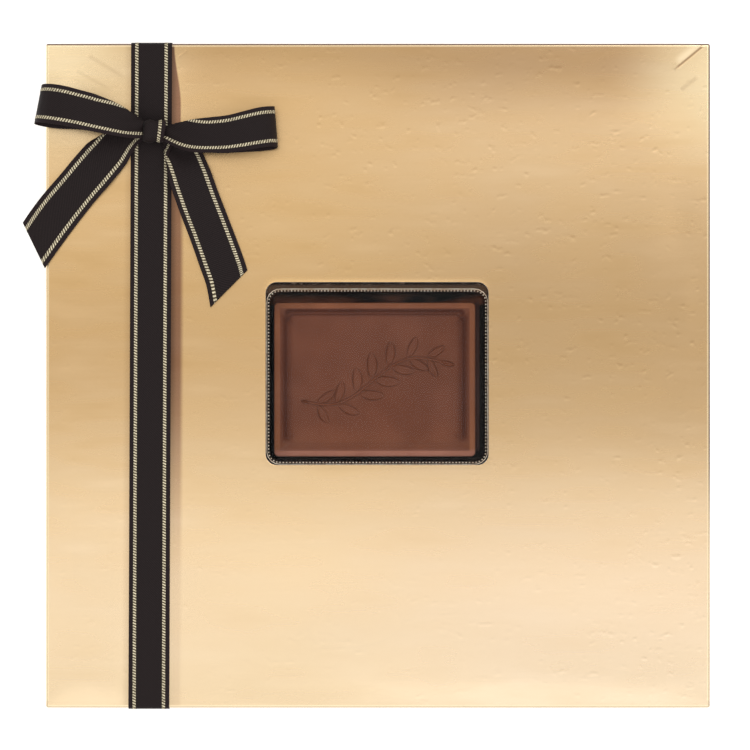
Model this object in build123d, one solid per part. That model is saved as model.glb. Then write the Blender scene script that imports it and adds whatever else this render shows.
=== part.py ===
from build123d import *
import os
from math import cos, radians, sin, tan

os.makedirs("parts", exist_ok=True)

# Gift box of filled chocolates: a two-piece folded carton, a moulded tray, a slab
# of milk chocolate in the middle under a window in the lid, and a ribbon with a bow.
# Millimetres. +Z up, +X right, +Y to the back, origin under the middle of the base.

# Carton, folded from laminated board
box_side = 260.4
box_height = 31.75
board = 0.6
fold_radius = 0.9
seam_gap = 0.4
flap_length = 22.0
flap_taper = 5.0
flap_setback = 1.5
lid_drop = 24.0
lid_fit = 0.5

# Window in the lid and the clear film behind it. The window is a margin larger than
# the rim of the slab's pocket.
window_margin_x = 1.2
window_margin_y = 3.4
window_radius = 4.2
window_shift = 0.7
film = 0.2
film_border = 9.0

# Moulded tray. The slab's pocket takes its size as shares of the box's side.
tray_sheet = 0.5
tray_fit = 0.4
tray_flare = 1.2
tray_corner = 6.0
tray_headroom = 0.85
rim_margin = 5.0
draft_angle = 3.0
pocket_corner = 4.0
web = 5.0
ridge_height = 7.0
ridge_foot = 5.0
ridge_crest = 1.6
slab_pocket_width_share = 0.3306
slab_pocket_length_share = 0.2619
slab_pocket_depth = 14.0
slab_pocket_shift = 0.35
lip_width = 1.0
lip_height = 0.45
wide_columns = 6
wide_rows = 2
side_columns = 2
side_rows = 2

# Slab of chocolate with a raised frame, and its gaps to the pocket's rim
slab_gap_left = 1.9
slab_gap_right = 4.9
slab_gap_back = 5.1
slab_gap_front = 2.5
slab_height = 9.0
slab_draft = 0.9
slab_corner = 2.4
frame_flat = 1.5
frame_slope = 1.2
frame_ledge = 0.4
ledge_depth = 1.0
field_slope = 1.6
field_depth = 2.2

# Small chocolates: each fills its seat but for a clearance. Shares are of the piece
# that just fits the seat.
seat_clearance = 1.2
truffle_height = 22.0
square_height = 19.0
square_bevel = 3.2
square_bar_height = 1.2
square_bar_width = 1.8
square_bar_pitch = 6.0
cup_foot_share = 0.70
cup_height = 17.0
cup_flutes = 12
cup_rim = 1.4
cup_fill = 1.5
nut_diameter = 11.0
nut_height = 6.5
log_width_share = 0.76
log_height = 20.0
log_shoulder = 9.0
log_bevel = 5.0
log_rib_pitch = 8.0
log_rib_width = 2.0
log_rib_depth = 1.2
octagon_height = 17.0
octagon_bevel = 2.5
octagon_crown_share = 0.58
octagon_crown_height = 2.0
step_height = 6.0
step_tread = 4.2
step_draft = 0.8
oval_width_share = 0.85
oval_height = 16.0
oval_bevel = 3.5
oval_top_share = 0.74
drizzle_width = 1.4
drizzle_height = 0.8
drizzle_pitch_share = 0.21
drizzle_length_share = 0.40
facet_height = 12.0
facet_rise = 2.6

# Outline of a domed chocolate: how wide, as a share of its diameter, and how high,
# as a share of its height.
dome_shares = [(0.93, 0.0), (1.0, 0.26), (0.93, 0.58), (0.70, 0.86), (0.34, 1.0)]
dome_sides = 20
nut_sides = 10
oval_sides = 16
cup_flute_share = 0.87

# Ribbon round the lid
ribbon_width = 16.0
ribbon = 0.35
ribbon_inset = 32.9
tongue_length = 12.0

# Bow
bow_inset = 34.3
bow_offset = 1.6
glue_radius = 2.6
glue_height = 0.5
knot_width = 8.2
knot_length = 8.6
knot_height = 7.0
knot_crown = 2.8
knot_foot = 1.0
knot_edge = 0.6
pinch_radius = 1.6
pinch_height = 4.0
loop_lift = 2.5
left_loop_reach = 47.0
left_loop_round = 6.4
left_loop_crown = 6.9
left_loop_heading = 166.5
right_loop_reach = 48.4
right_loop_round = 6.1
right_loop_crown = 6.6
right_loop_heading = 1.5
crown_share = 0.72
tail_width = 17.5
tail_lift = 0.9
tail_wave = 2.6
left_tail_reach = 68.7
left_tail_offset = 9.3
left_tail_skew = 8.4
left_tail_heading = 231.5
right_tail_reach = 72.4
right_tail_offset = 6.4
right_tail_skew = 8.6
right_tail_heading = -69.0

# Plan of each loop: how far out, as a share of its reach, and how far to the left
# and to the right of its line, as shares of the ribbon's width.
left_loop_left_shares = [(0.0, -0.24), (0.10, -0.28), (0.39, -0.35), (0.70, -0.42), (0.93, -0.58), (1.02, -0.56)]
left_loop_right_shares = [(0.0, 0.16), (0.10, 0.22), (0.30, 0.42), (0.53, 0.55), (0.82, 0.56), (1.02, 0.47)]
right_loop_left_shares = [(0.0, 0.10), (0.10, 0.13), (0.32, 0.28), (0.62, 0.36), (0.82, 0.50), (1.02, 0.53)]
right_loop_right_shares = [(0.0, -0.12), (0.10, -0.22), (0.22, -0.55), (0.54, -0.58), (0.80, -0.56), (1.02, -0.52)]

# Side view of a tail: how far out, as a share of its reach, and how high, as a
# share of its wave.
left_tail_shares = [(0.0, 0.1), (0.16, 0.0), (0.34, 0.7), (0.50, 1.0), (0.74, 0.15), (0.88, 0.0), (1.0, 0.3)]
right_tail_shares = [(0.0, 0.1), (0.12, 0.0), (0.20, 0.25), (0.33, 1.0), (0.52, 0.7), (0.78, 0.05), (1.0, 0.0)]
tail_neck_share = 0.12
tail_full_share = 0.27
neck_width_share = 0.30

# What follows from those sizes
half_box = box_side / 2
lid_rim = box_height - lid_drop
panel_underside = box_height - board
base_half = half_box - board - board - lid_fit
base_height = panel_underside
tray_half = base_half - board - board - tray_fit
tray_top_half = tray_half - tray_flare
flange_top = panel_underside - film - tray_headroom
trough_half = tray_top_half - rim_margin
trough_floor = board + tray_sheet
trough_depth = flange_top - trough_floor
slab_floor = flange_top - slab_pocket_depth
slab_pocket_width = box_side * slab_pocket_width_share
slab_pocket_length = box_side * slab_pocket_length_share
window_width = slab_pocket_width + window_margin_x
window_depth = slab_pocket_length + window_margin_y
slab_width = slab_pocket_width - slab_gap_left - slab_gap_right
slab_length = slab_pocket_length - slab_gap_back - slab_gap_front
slab_x = (slab_gap_left - slab_gap_right) / 2
slab_y = (slab_gap_front - slab_gap_back) / 2
slab_pocket_half_x = slab_pocket_width / 2
slab_pocket_half_y = slab_pocket_length / 2
ribbon_x = ribbon_inset + ribbon_width / 2 - half_box
bow_x = ribbon_x + bow_offset
bow_y = half_box - bow_inset
ribbon_top = box_height + ribbon
knot_base = ribbon_top + glue_height
overrun = board


def rounded_prism(width, length, corner, low, high):
    return Pos(0, 0, low) * extrude(RectangleRounded(width, length, corner), high - low)


def rounded_frustum(size_low, size_high, low, high):
    """Straight-sided pocket or foot between two rounded rectangles."""
    bottom = Pos(0, 0, low) * RectangleRounded(*size_low)
    top = Pos(0, 0, high) * RectangleRounded(*size_high)
    return loft([bottom, top], ruled=True)


def carton(side, height):
    """Tray of folded board, open upward, with its corners glued on inner flaps."""
    align = (Align.CENTER, Align.CENTER, Align.MIN)
    block = Box(side, side, height, align=align)
    folds = block.edges().filter_by(Axis.Z) + block.edges().group_by(Axis.Z)[0]
    block = fillet(folds, fold_radius)
    hollow = side - board - board
    block -= Pos(0, 0, board) * Box(hollow, hollow, height, align=align)
    wall_middle = side / 2 - board / 2
    edge = side / 2 - board
    free_end = edge - flap_length
    rim = height - flap_setback
    outline = Polyline(
        (edge, board), (edge, rim), (free_end, rim - flap_taper), (free_end + flap_taper, board), close=True
    )
    for y in (-1, 1):
        for x in (-1, 1):
            seam = Pos(x * (side / 2 - seam_gap / 2), y * wall_middle, fold_radius)
            block -= seam * Box(seam_gap, board, height, align=align)
            flap = extrude(Plane.XZ * make_face(outline), board / 2, both=True)
            if x < 0:
                flap = mirror(flap, Plane.YZ)
            block += Pos(0, y * (wall_middle - board), 0) * flap
    return block


base_carton = carton(base_half * 2, base_height)

# The lid is the same folded tray turned over, with the window cut in its panel.
lid_carton = Pos(0, 0, box_height) * Rot(180, 0, 0) * carton(box_side, lid_drop)
window = rounded_prism(window_width, window_depth, window_radius, panel_underside - overrun, box_height + overrun)
lid_carton -= Pos(0, window_shift, 0) * window

window_film = Pos(0, window_shift, 0) * rounded_prism(
    window_width + film_border * 2, window_depth + film_border * 2, window_radius, panel_underside - film,
    panel_underside,
)

# Tray: a flared skirt that stands on the base, a flange, and pockets let into it.
skirt = rounded_frustum(
    (tray_half * 2, tray_half * 2, tray_corner),
    (tray_top_half * 2, tray_top_half * 2, tray_corner), board, flange_top,
)
sheet_pair = tray_sheet * 2
skirt_inside = rounded_frustum(
    (tray_half * 2 - sheet_pair, tray_half * 2 - sheet_pair, tray_corner - tray_sheet),
    (tray_top_half * 2 - sheet_pair, tray_top_half * 2 - sheet_pair, tray_corner - tray_sheet),
    board, flange_top - tray_sheet,
)
candy_tray = skirt - skirt_inside

wide_inner = slab_pocket_half_y + web
side_inner = slab_pocket_half_x + web
wide_size = (trough_half * 2, trough_half - wide_inner)
side_size = (trough_half - side_inner, slab_pocket_length)
wide_middle = (trough_half + wide_inner) / 2
side_middle = (trough_half + side_inner) / 2


def floor_size(size, depth):
    """Width and length of a drafted pocket's floor."""
    lost = depth * tan(radians(draft_angle)) * 2
    return size[0] - lost, size[1] - lost


def pocket(size, depth, grow):
    """Drafted pocket below the flange, made larger all round by grow."""
    low = floor_size(size, depth)
    return rounded_frustum(
        (low[0] + grow * 2, low[1] + grow * 2, pocket_corner + grow),
        (size[0] + grow * 2, size[1] + grow * 2, pocket_corner + grow), flange_top - depth - grow, flange_top,
    )


def seat_fit(size, columns, rows):
    """Width of the chocolate that fits a seat between the ridges."""
    floor = floor_size(size, trough_depth)
    return min(floor[0] / columns, floor[1] / rows) - ridge_foot - seat_clearance * 2


wide_piece = seat_fit(wide_size, wide_columns, wide_rows)
side_piece = seat_fit(side_size, side_columns, side_rows)


def seats(size, columns, rows):
    """Middles of the chocolates in a trough, column by column."""
    floor = floor_size(size, trough_depth)
    wide, long = floor[0] / columns, floor[1] / rows
    return [[((c - (columns - 1) / 2) * wide, (r - (rows - 1) / 2) * long) for r in range(rows)]
            for c in range(columns)]


def ridges(size, columns, rows, shrink):
    """Low ridges on a trough's floor, between one chocolate and the next."""
    section = make_face(Polyline(
        (-ridge_foot / 2 + shrink, 0), (-ridge_crest / 2 + shrink / 2, ridge_height - shrink),
        (ridge_crest / 2 - shrink / 2, ridge_height - shrink), (ridge_foot / 2 - shrink, 0), close=True,
    ))
    floor = floor_size(size, trough_depth)
    wide, long = floor[0] / columns, floor[1] / rows
    across = [Pos((c - columns / 2) * wide, 0, 0) * extrude(Plane.XZ * section, size[1] / 2 - shrink, both=True)
              for c in range(1, columns)]
    along = [Pos(0, (r - rows / 2) * long, 0) * extrude(Plane.YZ * section, size[0] / 2 - shrink, both=True)
             for r in range(1, rows)]
    return across + along


troughs = [
    (wide_size, wide_columns, wide_rows, (0, wide_middle)),
    (wide_size, wide_columns, wide_rows, (0, -wide_middle)),
    (side_size, side_columns, side_rows, (side_middle, 0)),
    (side_size, side_columns, side_rows, (-side_middle, 0)),
]
slab_pocket_size = (slab_pocket_width - lip_width, slab_pocket_length - lip_width)
slab_pocket_place = Pos(0, -slab_pocket_shift, 0)
for size, columns, rows, (x, y) in troughs:
    candy_tray += Pos(x, y, 0) * pocket(size, trough_depth, tray_sheet)
candy_tray += slab_pocket_place * pocket(slab_pocket_size, slab_pocket_depth, tray_sheet)
for size, columns, rows, (x, y) in troughs:
    cavity = pocket(size, trough_depth, 0)
    hollows = []
    for ridge in ridges(size, columns, rows, 0):
        cavity -= Pos(0, 0, trough_floor) * ridge
    for ridge in ridges(size, columns, rows, tray_sheet):
        hollows.append(Pos(x, y, board) * ridge)
    candy_tray -= Pos(x, y, 0) * cavity
    candy_tray -= hollows
candy_tray -= slab_pocket_place * pocket(slab_pocket_size, slab_pocket_depth, 0)
lip = rounded_prism(
    slab_pocket_width + lip_width, slab_pocket_length + lip_width, pocket_corner + lip_width, flange_top,
    flange_top + lip_height,
) - rounded_prism(
    slab_pocket_width - lip_width, slab_pocket_length - lip_width, pocket_corner, flange_top,
    flange_top + lip_height,
)
candy_tray += slab_pocket_place * lip

# Slab: drafted block with a raised frame that steps down, over a narrow ledge, to a
# sunken plain field.
slab = rounded_frustum(
    (slab_width, slab_length, slab_corner),
    (slab_width - slab_draft * 2, slab_length - slab_draft * 2, slab_corner), 0, slab_height,
)
edge_in = slab_draft + frame_flat
slope_in = edge_in + frame_slope
ledge_in = slope_in + frame_ledge
field_in = ledge_in + field_slope
ledge_level = slab_height - ledge_depth
slab -= rounded_frustum(
    (slab_width - slope_in * 2, slab_length - slope_in * 2, slab_corner / 2),
    (slab_width - edge_in * 2, slab_length - edge_in * 2, slab_corner), ledge_level, slab_height,
)
slab -= rounded_frustum(
    (slab_width - field_in * 2, slab_length - field_in * 2, slab_corner / 4),
    (slab_width - ledge_in * 2, slab_length - ledge_in * 2, slab_corner / 2), slab_height - field_depth,
    ledge_level,
)
centre_bar = Pos(slab_x, slab_y - slab_pocket_shift, slab_floor) * slab


def faceted(sides, rings, flute_share=1):
    """Solid with flat facets through rings of corners: half length, half width, level."""
    corners = []
    for half_length, half_width, level in rings:
        ring = []
        for step in range(sides):
            turn = radians(360 * (step + 1 / 2) / sides)
            share = flute_share if step % 2 else 1
            ring.append(Vector(half_length * share * cos(turn), half_width * share * sin(turn), level))
        corners.append(ring)
    faces = [make_face(Polyline(*corners[0], close=True)).face(), make_face(Polyline(*corners[-1], close=True)).face()]
    for low, high in zip(corners, corners[1:]):
        for step in range(sides):
            after = (step + 1) % sides
            faces.append(make_face(Polyline(low[step], low[after], high[after], high[step], close=True)).face())
    return Solid(Shell(faces))


def dome(sides, diameter, height):
    """Domed chocolate or nut, cut in flat facets."""
    return faceted(sides, [(diameter / 2 * wide, diameter / 2 * wide, height * high) for wide, high in dome_shares])


def bevelled_square():
    """Square praline with bevelled shoulders and three raised bars."""
    body = extrude(Rectangle(wide_piece, wide_piece), square_height)
    body = chamfer(body.faces().sort_by(Axis.Z)[-1].edges(), square_bevel)
    top = wide_piece - square_bevel * 2
    for row in (-1, 0, 1):
        bar = extrude(Rectangle(top - square_bar_width, square_bar_width), square_bar_height)
        body += Pos(0, row * square_bar_pitch, square_height) * bar
    return body


def fluted_cup():
    """Fluted cup, wider at the mouth, filled to a rim."""
    mouth = wide_piece / 2
    foot = mouth * cup_foot_share
    cup = faceted(cup_flutes * 2, [(foot, foot, 0), (mouth, mouth, cup_height)], cup_flute_share)
    bowl = mouth * cup_flute_share - cup_rim
    return cup - Pos(0, 0, cup_height - cup_fill) * extrude(RegularPolygon(bowl, cup_flutes), cup_fill)


def ribbed_log():
    """Log with a bevelled back and grooves across it."""
    half = wide_piece * log_width_share / 2
    back = make_face(Polyline(
        (-half, 0), (half, 0), (half, log_shoulder), (half - log_bevel / 2, log_height - log_bevel / 2),
        (half - log_bevel, log_height), (log_bevel - half, log_height),
        (log_bevel / 2 - half, log_height - log_bevel / 2), (-half, log_shoulder), close=True,
    ))
    core = make_face(Polyline(
        (log_rib_depth - half, 0), (half - log_rib_depth, 0), (half - log_rib_depth, log_shoulder),
        (half - log_bevel, log_height - log_rib_depth), (log_bevel - half, log_height - log_rib_depth),
        (log_rib_depth - half, log_shoulder), close=True,
    ))
    body = extrude(Plane.XZ * back, wide_piece / 2, both=True)
    groove = extrude(Plane.XZ * (back - core), log_rib_width / 2, both=True)
    for step in (-1, 0, 1):
        body -= Pos(0, step * log_rib_pitch, 0) * groove
    return body


def octagon_cream():
    """Eight-sided praline with a bevelled shoulder and a raised crown."""
    half = wide_piece / 2
    crown = half * octagon_crown_share
    body = faceted(8, [(half, half, 0), (half, half, octagon_height - octagon_bevel),
                       (half - octagon_bevel, half - octagon_bevel, octagon_height)])
    top = faceted(8, [(crown, crown, 0), (crown - octagon_crown_height / 2, crown - octagon_crown_height / 2,
                                          octagon_crown_height)])
    return body + Pos(0, 0, octagon_height) * top


def stepped_square():
    """Three drafted steps, each set in from the one below."""
    tiers = []
    for tier in (0, 1, 2):
        half = (wide_piece / 2 - tier * step_tread) / cos(radians(45))
        top = half - step_draft / cos(radians(45))
        tiers.append(Pos(0, 0, tier * step_height) * faceted(4, [(half, half, 0), (top, top, step_height)]))
    return tiers[0] + tiers[1] + tiers[2]


def oval_praline():
    """Oval praline with a bevelled shoulder."""
    long = side_piece / 2
    wide = long * oval_width_share
    return faceted(oval_sides, [(long, wide, 0), (long, wide, oval_height - oval_bevel),
                                (long * oval_top_share, wide * oval_top_share, oval_height)])


def drizzle():
    """Three stripes of icing across the top of the oval."""
    stripes = []
    for row in (-1, 0, 1):
        stripes.append(Pos(row * side_piece * drizzle_pitch_share, 0, 0) * extrude(
            Rectangle(side_piece * drizzle_length_share, drizzle_width, rotation=70), drizzle_height))
    return stripes


def faceted_square():
    """Square praline cut like a jewel by vee grooves both ways."""
    height = facet_height + facet_rise
    body = extrude(Rectangle(side_piece, side_piece), height)
    pitch = side_piece / 4
    vee = make_face(Polyline((-pitch / 2, height), (0, facet_height), (pitch / 2, height), close=True))
    for line in (-2, -1, 0, 1, 2):
        body -= Pos(line * pitch, 0, 0) * extrude(Plane.XZ * vee, side_piece, both=True)
        body -= Pos(0, line * pitch, 0) * extrude(Plane.YZ * vee, side_piece, both=True)
    return body


def spread(spots, level, *pieces):
    return Compound([Pos(x, y, level) * piece for x, y in spots for piece in pieces])


def wide_spots(column, row):
    """The four seats that mirror one seat of the wide troughs."""
    x, y = seats(wide_size, wide_columns, wide_rows)[column][row]
    y += wide_middle
    return [(x, y), (-x, y), (x, -y), (-x, -y)]


def side_spots(column, row):
    x, y = seats(side_size, side_columns, side_rows)[column][row]
    x += side_middle
    return [(x, y), (-x, y), (x, -y), (-x, -y)]


# Ribbon band: over the lid, down both walls, under the rim and glued up inside.
band_half = half_box + ribbon
shell = make_face(Polyline(
    (-band_half, lid_rim - ribbon), (band_half, lid_rim - ribbon), (band_half, ribbon_top),
    (-band_half, ribbon_top), close=True,
))
shell = fillet(shell.vertices().group_by(Axis.Y)[-1], fold_radius + ribbon)
lid_section = make_face(Polyline(
    (-half_box, lid_rim), (half_box, lid_rim), (half_box, box_height), (-half_box, box_height), close=True,
))
lid_section = fillet(lid_section.vertices().group_by(Axis.Y)[-1], fold_radius)
inside_half = half_box - board - ribbon
opening = Pos(0, lid_rim) * Rectangle(inside_half * 2, ribbon * 2)
tongues = [Pos(side * (inside_half + ribbon / 2), lid_rim + tongue_length / 2) * Rectangle(ribbon, tongue_length)
           for side in (-1, 1)]
band_section = shell - lid_section - opening + tongues
ribbon_band = Pos(ribbon_x, 0, 0) * extrude(Plane.YZ * band_section, ribbon_width / 2, both=True)

# Bow: ready tied, its knot stuck to the band with a dot of glue.
bow_place = Pos(bow_x, bow_y, 0)
bow_glue_dot = bow_place * Pos(0, 0, ribbon_top) * extrude(Circle(glue_radius), glue_height)
knot_section = make_face(Polyline(
    (-knot_length / 2, 0), (knot_length / 2, 0), (knot_length / 2, knot_height), (-knot_length / 2, knot_height),
    close=True,
))
knot_section = fillet(knot_section.vertices().group_by(Axis.Y)[0], knot_foot)
knot_section = fillet(knot_section.vertices().group_by(Axis.Y)[-1], knot_crown)
knot = extrude(Plane.YZ * knot_section, knot_width / 2, both=True)
knot = chamfer(knot.faces().sort_by(Axis.X)[0].edges() + knot.faces().sort_by(Axis.X)[-1].edges(), knot_edge)
bow_knot = bow_place * Pos(0, 0, knot_base) * knot


def loop(reach, end_round, crown_round, heading, left_shares, right_shares):
    """Closed loop of ribbon, pinched at the knot and open through its width."""
    base = box_height + loop_lift
    pinch = Pos(pinch_radius, knot_base + pinch_height - base) * Circle(pinch_radius)
    crown = Pos(reach * crown_share, crown_round) * Circle(crown_round)
    end = Pos(reach - end_round, end_round) * Circle(end_round)
    outer = make_hull(pinch.edges() + crown.edges() + end.edges())
    ring = outer - offset(outer, -ribbon)
    ring = Pos(0, 0, base) * extrude(Plane.XZ * ring, ribbon_width, both=True)
    left = [(reach * far, ribbon_width * side) for far, side in left_shares]
    right = [(reach * far, ribbon_width * side) for far, side in right_shares]
    plan = make_face([Spline(*left), Line(left[-1], right[-1]), Spline(*right), Line(right[0], left[0])])
    cutter = Pos(0, 0, box_height) * extrude(plan, crown_round * 4, dir=(0, 0, 1))
    return bow_place * Rot(0, 0, heading) * (ring & cutter) - bow_knot


def tail(reach, offset_side, skew, heading, wave_shares, neck_side):
    """Loose end: narrow where it leaves the knot, waved, and cut on a slant."""
    low = ribbon_top + tail_lift
    points = [(reach * far, low + tail_wave * high) for far, high in wave_shares]
    under = Spline(*points)
    over = Pos(0, ribbon) * under
    side_view = make_face([under, over, Line(under @ 0, over @ 0), Line(under @ 1, over @ 1)])
    strip = extrude(Plane.XZ * side_view, ribbon_width * 2, both=True)
    near = offset_side - tail_width / 2
    far = offset_side + tail_width / 2
    neck = ribbon_width * neck_width_share
    long_side = reach if skew > 0 else reach + skew
    short_side = reach - skew if skew > 0 else reach
    plan = make_face(Polyline(
        (0, -neck_side * neck / 2), (reach * tail_neck_share, neck_side * near),
        (long_side, neck_side * near), (short_side, neck_side * far),
        (reach * tail_full_share, neck_side * far), (0, neck_side * neck / 2), close=True,
    ))
    cutter = Pos(0, 0, box_height) * extrude(plan, tail_wave * 4, dir=(0, 0, 1))
    return bow_place * Rot(0, 0, heading) * (strip & cutter) - bow_knot


nodes = {
    "base_carton": base_carton,
    "candy_tray": candy_tray,
    "centre_bar": centre_bar,
    "domed_truffles": spread(wide_spots(5, 1), trough_floor,
                              dome(dome_sides, wide_piece, truffle_height)),
    "bevelled_squares": spread(wide_spots(4, 1), trough_floor, bevelled_square()),
    "fluted_cups": spread(wide_spots(3, 1), trough_floor, fluted_cup()),
    "hazelnuts": spread(wide_spots(3, 1), trough_floor + cup_height - cup_fill,
                         dome(nut_sides, nut_diameter, nut_height)),
    "ribbed_logs": spread(wide_spots(5, 0), trough_floor, ribbed_log()),
    "octagon_creams": spread(wide_spots(4, 0), trough_floor, octagon_cream()),
    "stepped_squares": spread(wide_spots(3, 0), trough_floor, stepped_square()),
    "oval_pralines": spread(side_spots(1, 1), trough_floor, oval_praline()),
    "oval_drizzle": spread(side_spots(1, 1), trough_floor + oval_height, *drizzle()),
    "faceted_squares": spread(side_spots(0, 1), trough_floor, faceted_square()),
    "lid_carton": lid_carton,
    "window_film": window_film,
    "ribbon_band": ribbon_band,
    "bow_glue_dot": bow_glue_dot,
    "bow_knot": bow_knot,
    "bow_left_loop": loop(left_loop_reach, left_loop_round, left_loop_crown, left_loop_heading,
                          left_loop_left_shares, left_loop_right_shares),
    "bow_right_loop": loop(right_loop_reach, right_loop_round, right_loop_crown, right_loop_heading,
                           right_loop_left_shares, right_loop_right_shares),
    "bow_left_tail": tail(left_tail_reach, left_tail_offset, left_tail_skew, left_tail_heading,
                          left_tail_shares, -1),
    "bow_right_tail": tail(right_tail_reach, right_tail_offset, right_tail_skew, right_tail_heading,
                           right_tail_shares, 1),
}

for name, shape in nodes.items():
    export_step(shape, f"parts/{name}.step")
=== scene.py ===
# %% [markdown]
# # A gift box of chocolates
#
# A low square carton in gold foil, with a window that shows a framed slab of milk
# chocolate, and a black ribbon with two gold stripes tied in a bow. The box, its tray
# and the chocolates come from the CAD model as a fixed frame. Everything that carries
# the looks, the foil, the ribbon and the slab, is made again here around that frame.

# %% Load the frame
import math

import bmesh
import bpy
import numpy as np
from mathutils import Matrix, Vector


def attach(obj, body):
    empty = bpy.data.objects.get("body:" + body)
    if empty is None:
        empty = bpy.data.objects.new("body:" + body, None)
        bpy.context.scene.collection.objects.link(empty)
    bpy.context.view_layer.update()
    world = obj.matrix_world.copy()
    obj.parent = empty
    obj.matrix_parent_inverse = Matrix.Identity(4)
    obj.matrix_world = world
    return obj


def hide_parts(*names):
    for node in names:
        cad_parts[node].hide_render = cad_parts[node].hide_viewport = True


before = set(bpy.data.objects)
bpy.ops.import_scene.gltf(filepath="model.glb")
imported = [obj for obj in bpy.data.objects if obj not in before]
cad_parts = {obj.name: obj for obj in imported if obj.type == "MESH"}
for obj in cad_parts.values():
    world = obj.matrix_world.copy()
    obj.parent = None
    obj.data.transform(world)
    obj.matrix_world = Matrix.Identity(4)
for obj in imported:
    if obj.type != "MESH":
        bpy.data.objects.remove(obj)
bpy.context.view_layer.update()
MM = 0.001

# %% [markdown]
# ## Helpers for shaping
#
# Operators act on whatever is selected, so each step starts by clearing the selection.
# Faces and edges are then picked in code by where they are, which is what clicking on
# them would do. The last helper finishes a piece: it puts the piece's place in its mesh,
# gives it its material, says which body it rides on, and hides the solids it stands for.

# %% Selecting by place
def choose(piece):
    """Select one piece alone, and make it the active one."""
    bpy.ops.object.select_all(action="DESELECT")
    bpy.context.view_layer.objects.active = piece
    piece.select_set(True)


def open_mesh(piece):
    """Start editing one piece, with nothing selected in it."""
    choose(piece)
    bpy.ops.object.mode_set(mode="EDIT")
    bpy.ops.mesh.select_all(action="DESELECT")


def pick(kind, test):
    """Select the faces or edges of the open mesh that pass a test, and count them."""
    bpy.ops.mesh.select_mode(type=kind)
    bpy.ops.mesh.select_all(action="DESELECT")
    data = bpy.context.object.data
    mesh = bmesh.from_edit_mesh(data)
    found = [part for part in (mesh.faces if kind == "FACE" else mesh.edges) if test(part)]
    for part in found:
        part.select_set(True)
    bmesh.update_edit_mesh(data)
    return len(found)


def close_mesh():
    """Go back from editing a mesh to the whole scene."""
    bpy.ops.object.mode_set(mode="OBJECT")


# %% Adding, modifying and finishing a piece
def place_object(name, data):
    """Put a mesh, a curve, a light or a camera into the scene as an object."""
    holder = bpy.data.objects.new(name, data)
    bpy.context.scene.collection.objects.link(holder)
    return holder


def apply_modifier(piece, kind, **settings):
    """Add a modifier, set it, and apply it."""
    choose(piece)
    modifier = piece.modifiers.new(kind.lower(), kind)
    for key, value in settings.items():
        setattr(modifier, key, value)
    bpy.ops.object.modifier_apply(modifier=modifier.name)


def hand_over(piece, name, body, slot, material, *stands_for):
    """Name a finished piece, put its place in its mesh, dress it and let it ride."""
    choose(piece)
    bpy.ops.object.transform_apply(location=True, rotation=True, scale=True)
    piece.name = name
    piece.data.name = name
    piece.data.materials.clear()
    piece.data.materials.append(material)
    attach(piece, body)
    if stands_for:
        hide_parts(*stands_for)
    print(name, "has", len(piece.data.polygons), "faces")


# %% [markdown]
# ## Sizes shared by several pieces
#
# They repeat the CAD model's, so the dressed pieces land where its solids are. Only the
# window is cut a fraction of a millimetre aside. The ribbon's own sizes are in
# millimetres, because its routes are given in them. It lies a little off square, by so
# many millimetres for each one towards the back.

# %% Sizes
LID_HALF = 130.2 * MM
LID_TOP = 31.75 * MM
LID_RIM = 7.75 * MM
BOARD = 0.6 * MM
FOLD = 0.9 * MM
WINDOW = (87.3 * MM, 71.6 * MM)
WINDOW_CORNER = 4.2 * MM
WINDOW_PLACE = (-0.35 * MM, 0.88 * MM)
RIBBON_WIDTH = 16.0
RIBBON_X = -89.3
RIBBON_LEAN = 0.0042

# %% [markdown]
# ## Finishes
#
# Each finish is a Principled shader fed by patterns. Patterns that several finishes
# share are node groups: a group is built once, and each material sets its own values.
# The helpers below add one node each, or a few that are often wanted together. A mask is
# a number from 0 to 1 that says where something shows, and two masks are combined by
# multiplying them.

# %% Node groups and sums
def new_group(name, inputs, outputs):
    """An empty shader node group with named sockets."""
    group = bpy.data.node_groups.new(name, "ShaderNodeTree")
    for label, kind, value in inputs:
        socket = group.interface.new_socket(label, in_out="INPUT", socket_type=kind)
        if value is not None:
            socket.default_value = value
    for label, kind in outputs:
        group.interface.new_socket(label, in_out="OUTPUT", socket_type=kind)
    return group, group.nodes.new("NodeGroupInput"), group.nodes.new("NodeGroupOutput")


def use(tree, group, **inputs):
    """Place a node group and set or link its inputs."""
    node = tree.nodes.new("ShaderNodeGroup")
    node.node_tree = group
    for label, value in inputs.items():
        if isinstance(value, (int, float)):
            node.inputs[label].default_value = value
        else:
            tree.links.new(value, node.inputs[label])
    return node


def maths(tree, what, *values):
    """A Math node whose inputs are numbers or other nodes' outputs."""
    node = tree.nodes.new("ShaderNodeMath")
    node.operation = what
    for socket, value in zip(node.inputs, values):
        if isinstance(value, (int, float)):
            socket.default_value = value
        else:
            tree.links.new(value, socket)
    return node.outputs[0]


def times(tree, product, *factors):
    """Two or more values multiplied."""
    for factor in factors:
        product = maths(tree, "MULTIPLY", product, factor)
    return product


def plus(tree, total, *values):
    """Two or more values added up."""
    for value in values:
        total = maths(tree, "ADD", total, value)
    return total


def minus(tree, first, second):
    """One value less another."""
    return maths(tree, "SUBTRACT", first, second)


# %% Masks
def remap(tree, value, low, high, to_low=0.0, to_high=1.0):
    """Smoothly turn a range of values into another: from 0 to 1, where no other is given."""
    node = tree.nodes.new("ShaderNodeMapRange")
    node.interpolation_type = "SMOOTHSTEP"
    tree.links.new(value, node.inputs["Value"])
    for label, number in (("From Min", low), ("From Max", high), ("To Min", to_low), ("To Max", to_high)):
        node.inputs[label].default_value = number
    return node.outputs["Result"]


def fade(tree, value, low, high):
    """1 up to the low value, falling to 0 at the high one."""
    return remap(tree, value, low, high, 1.0, 0.0)


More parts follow.
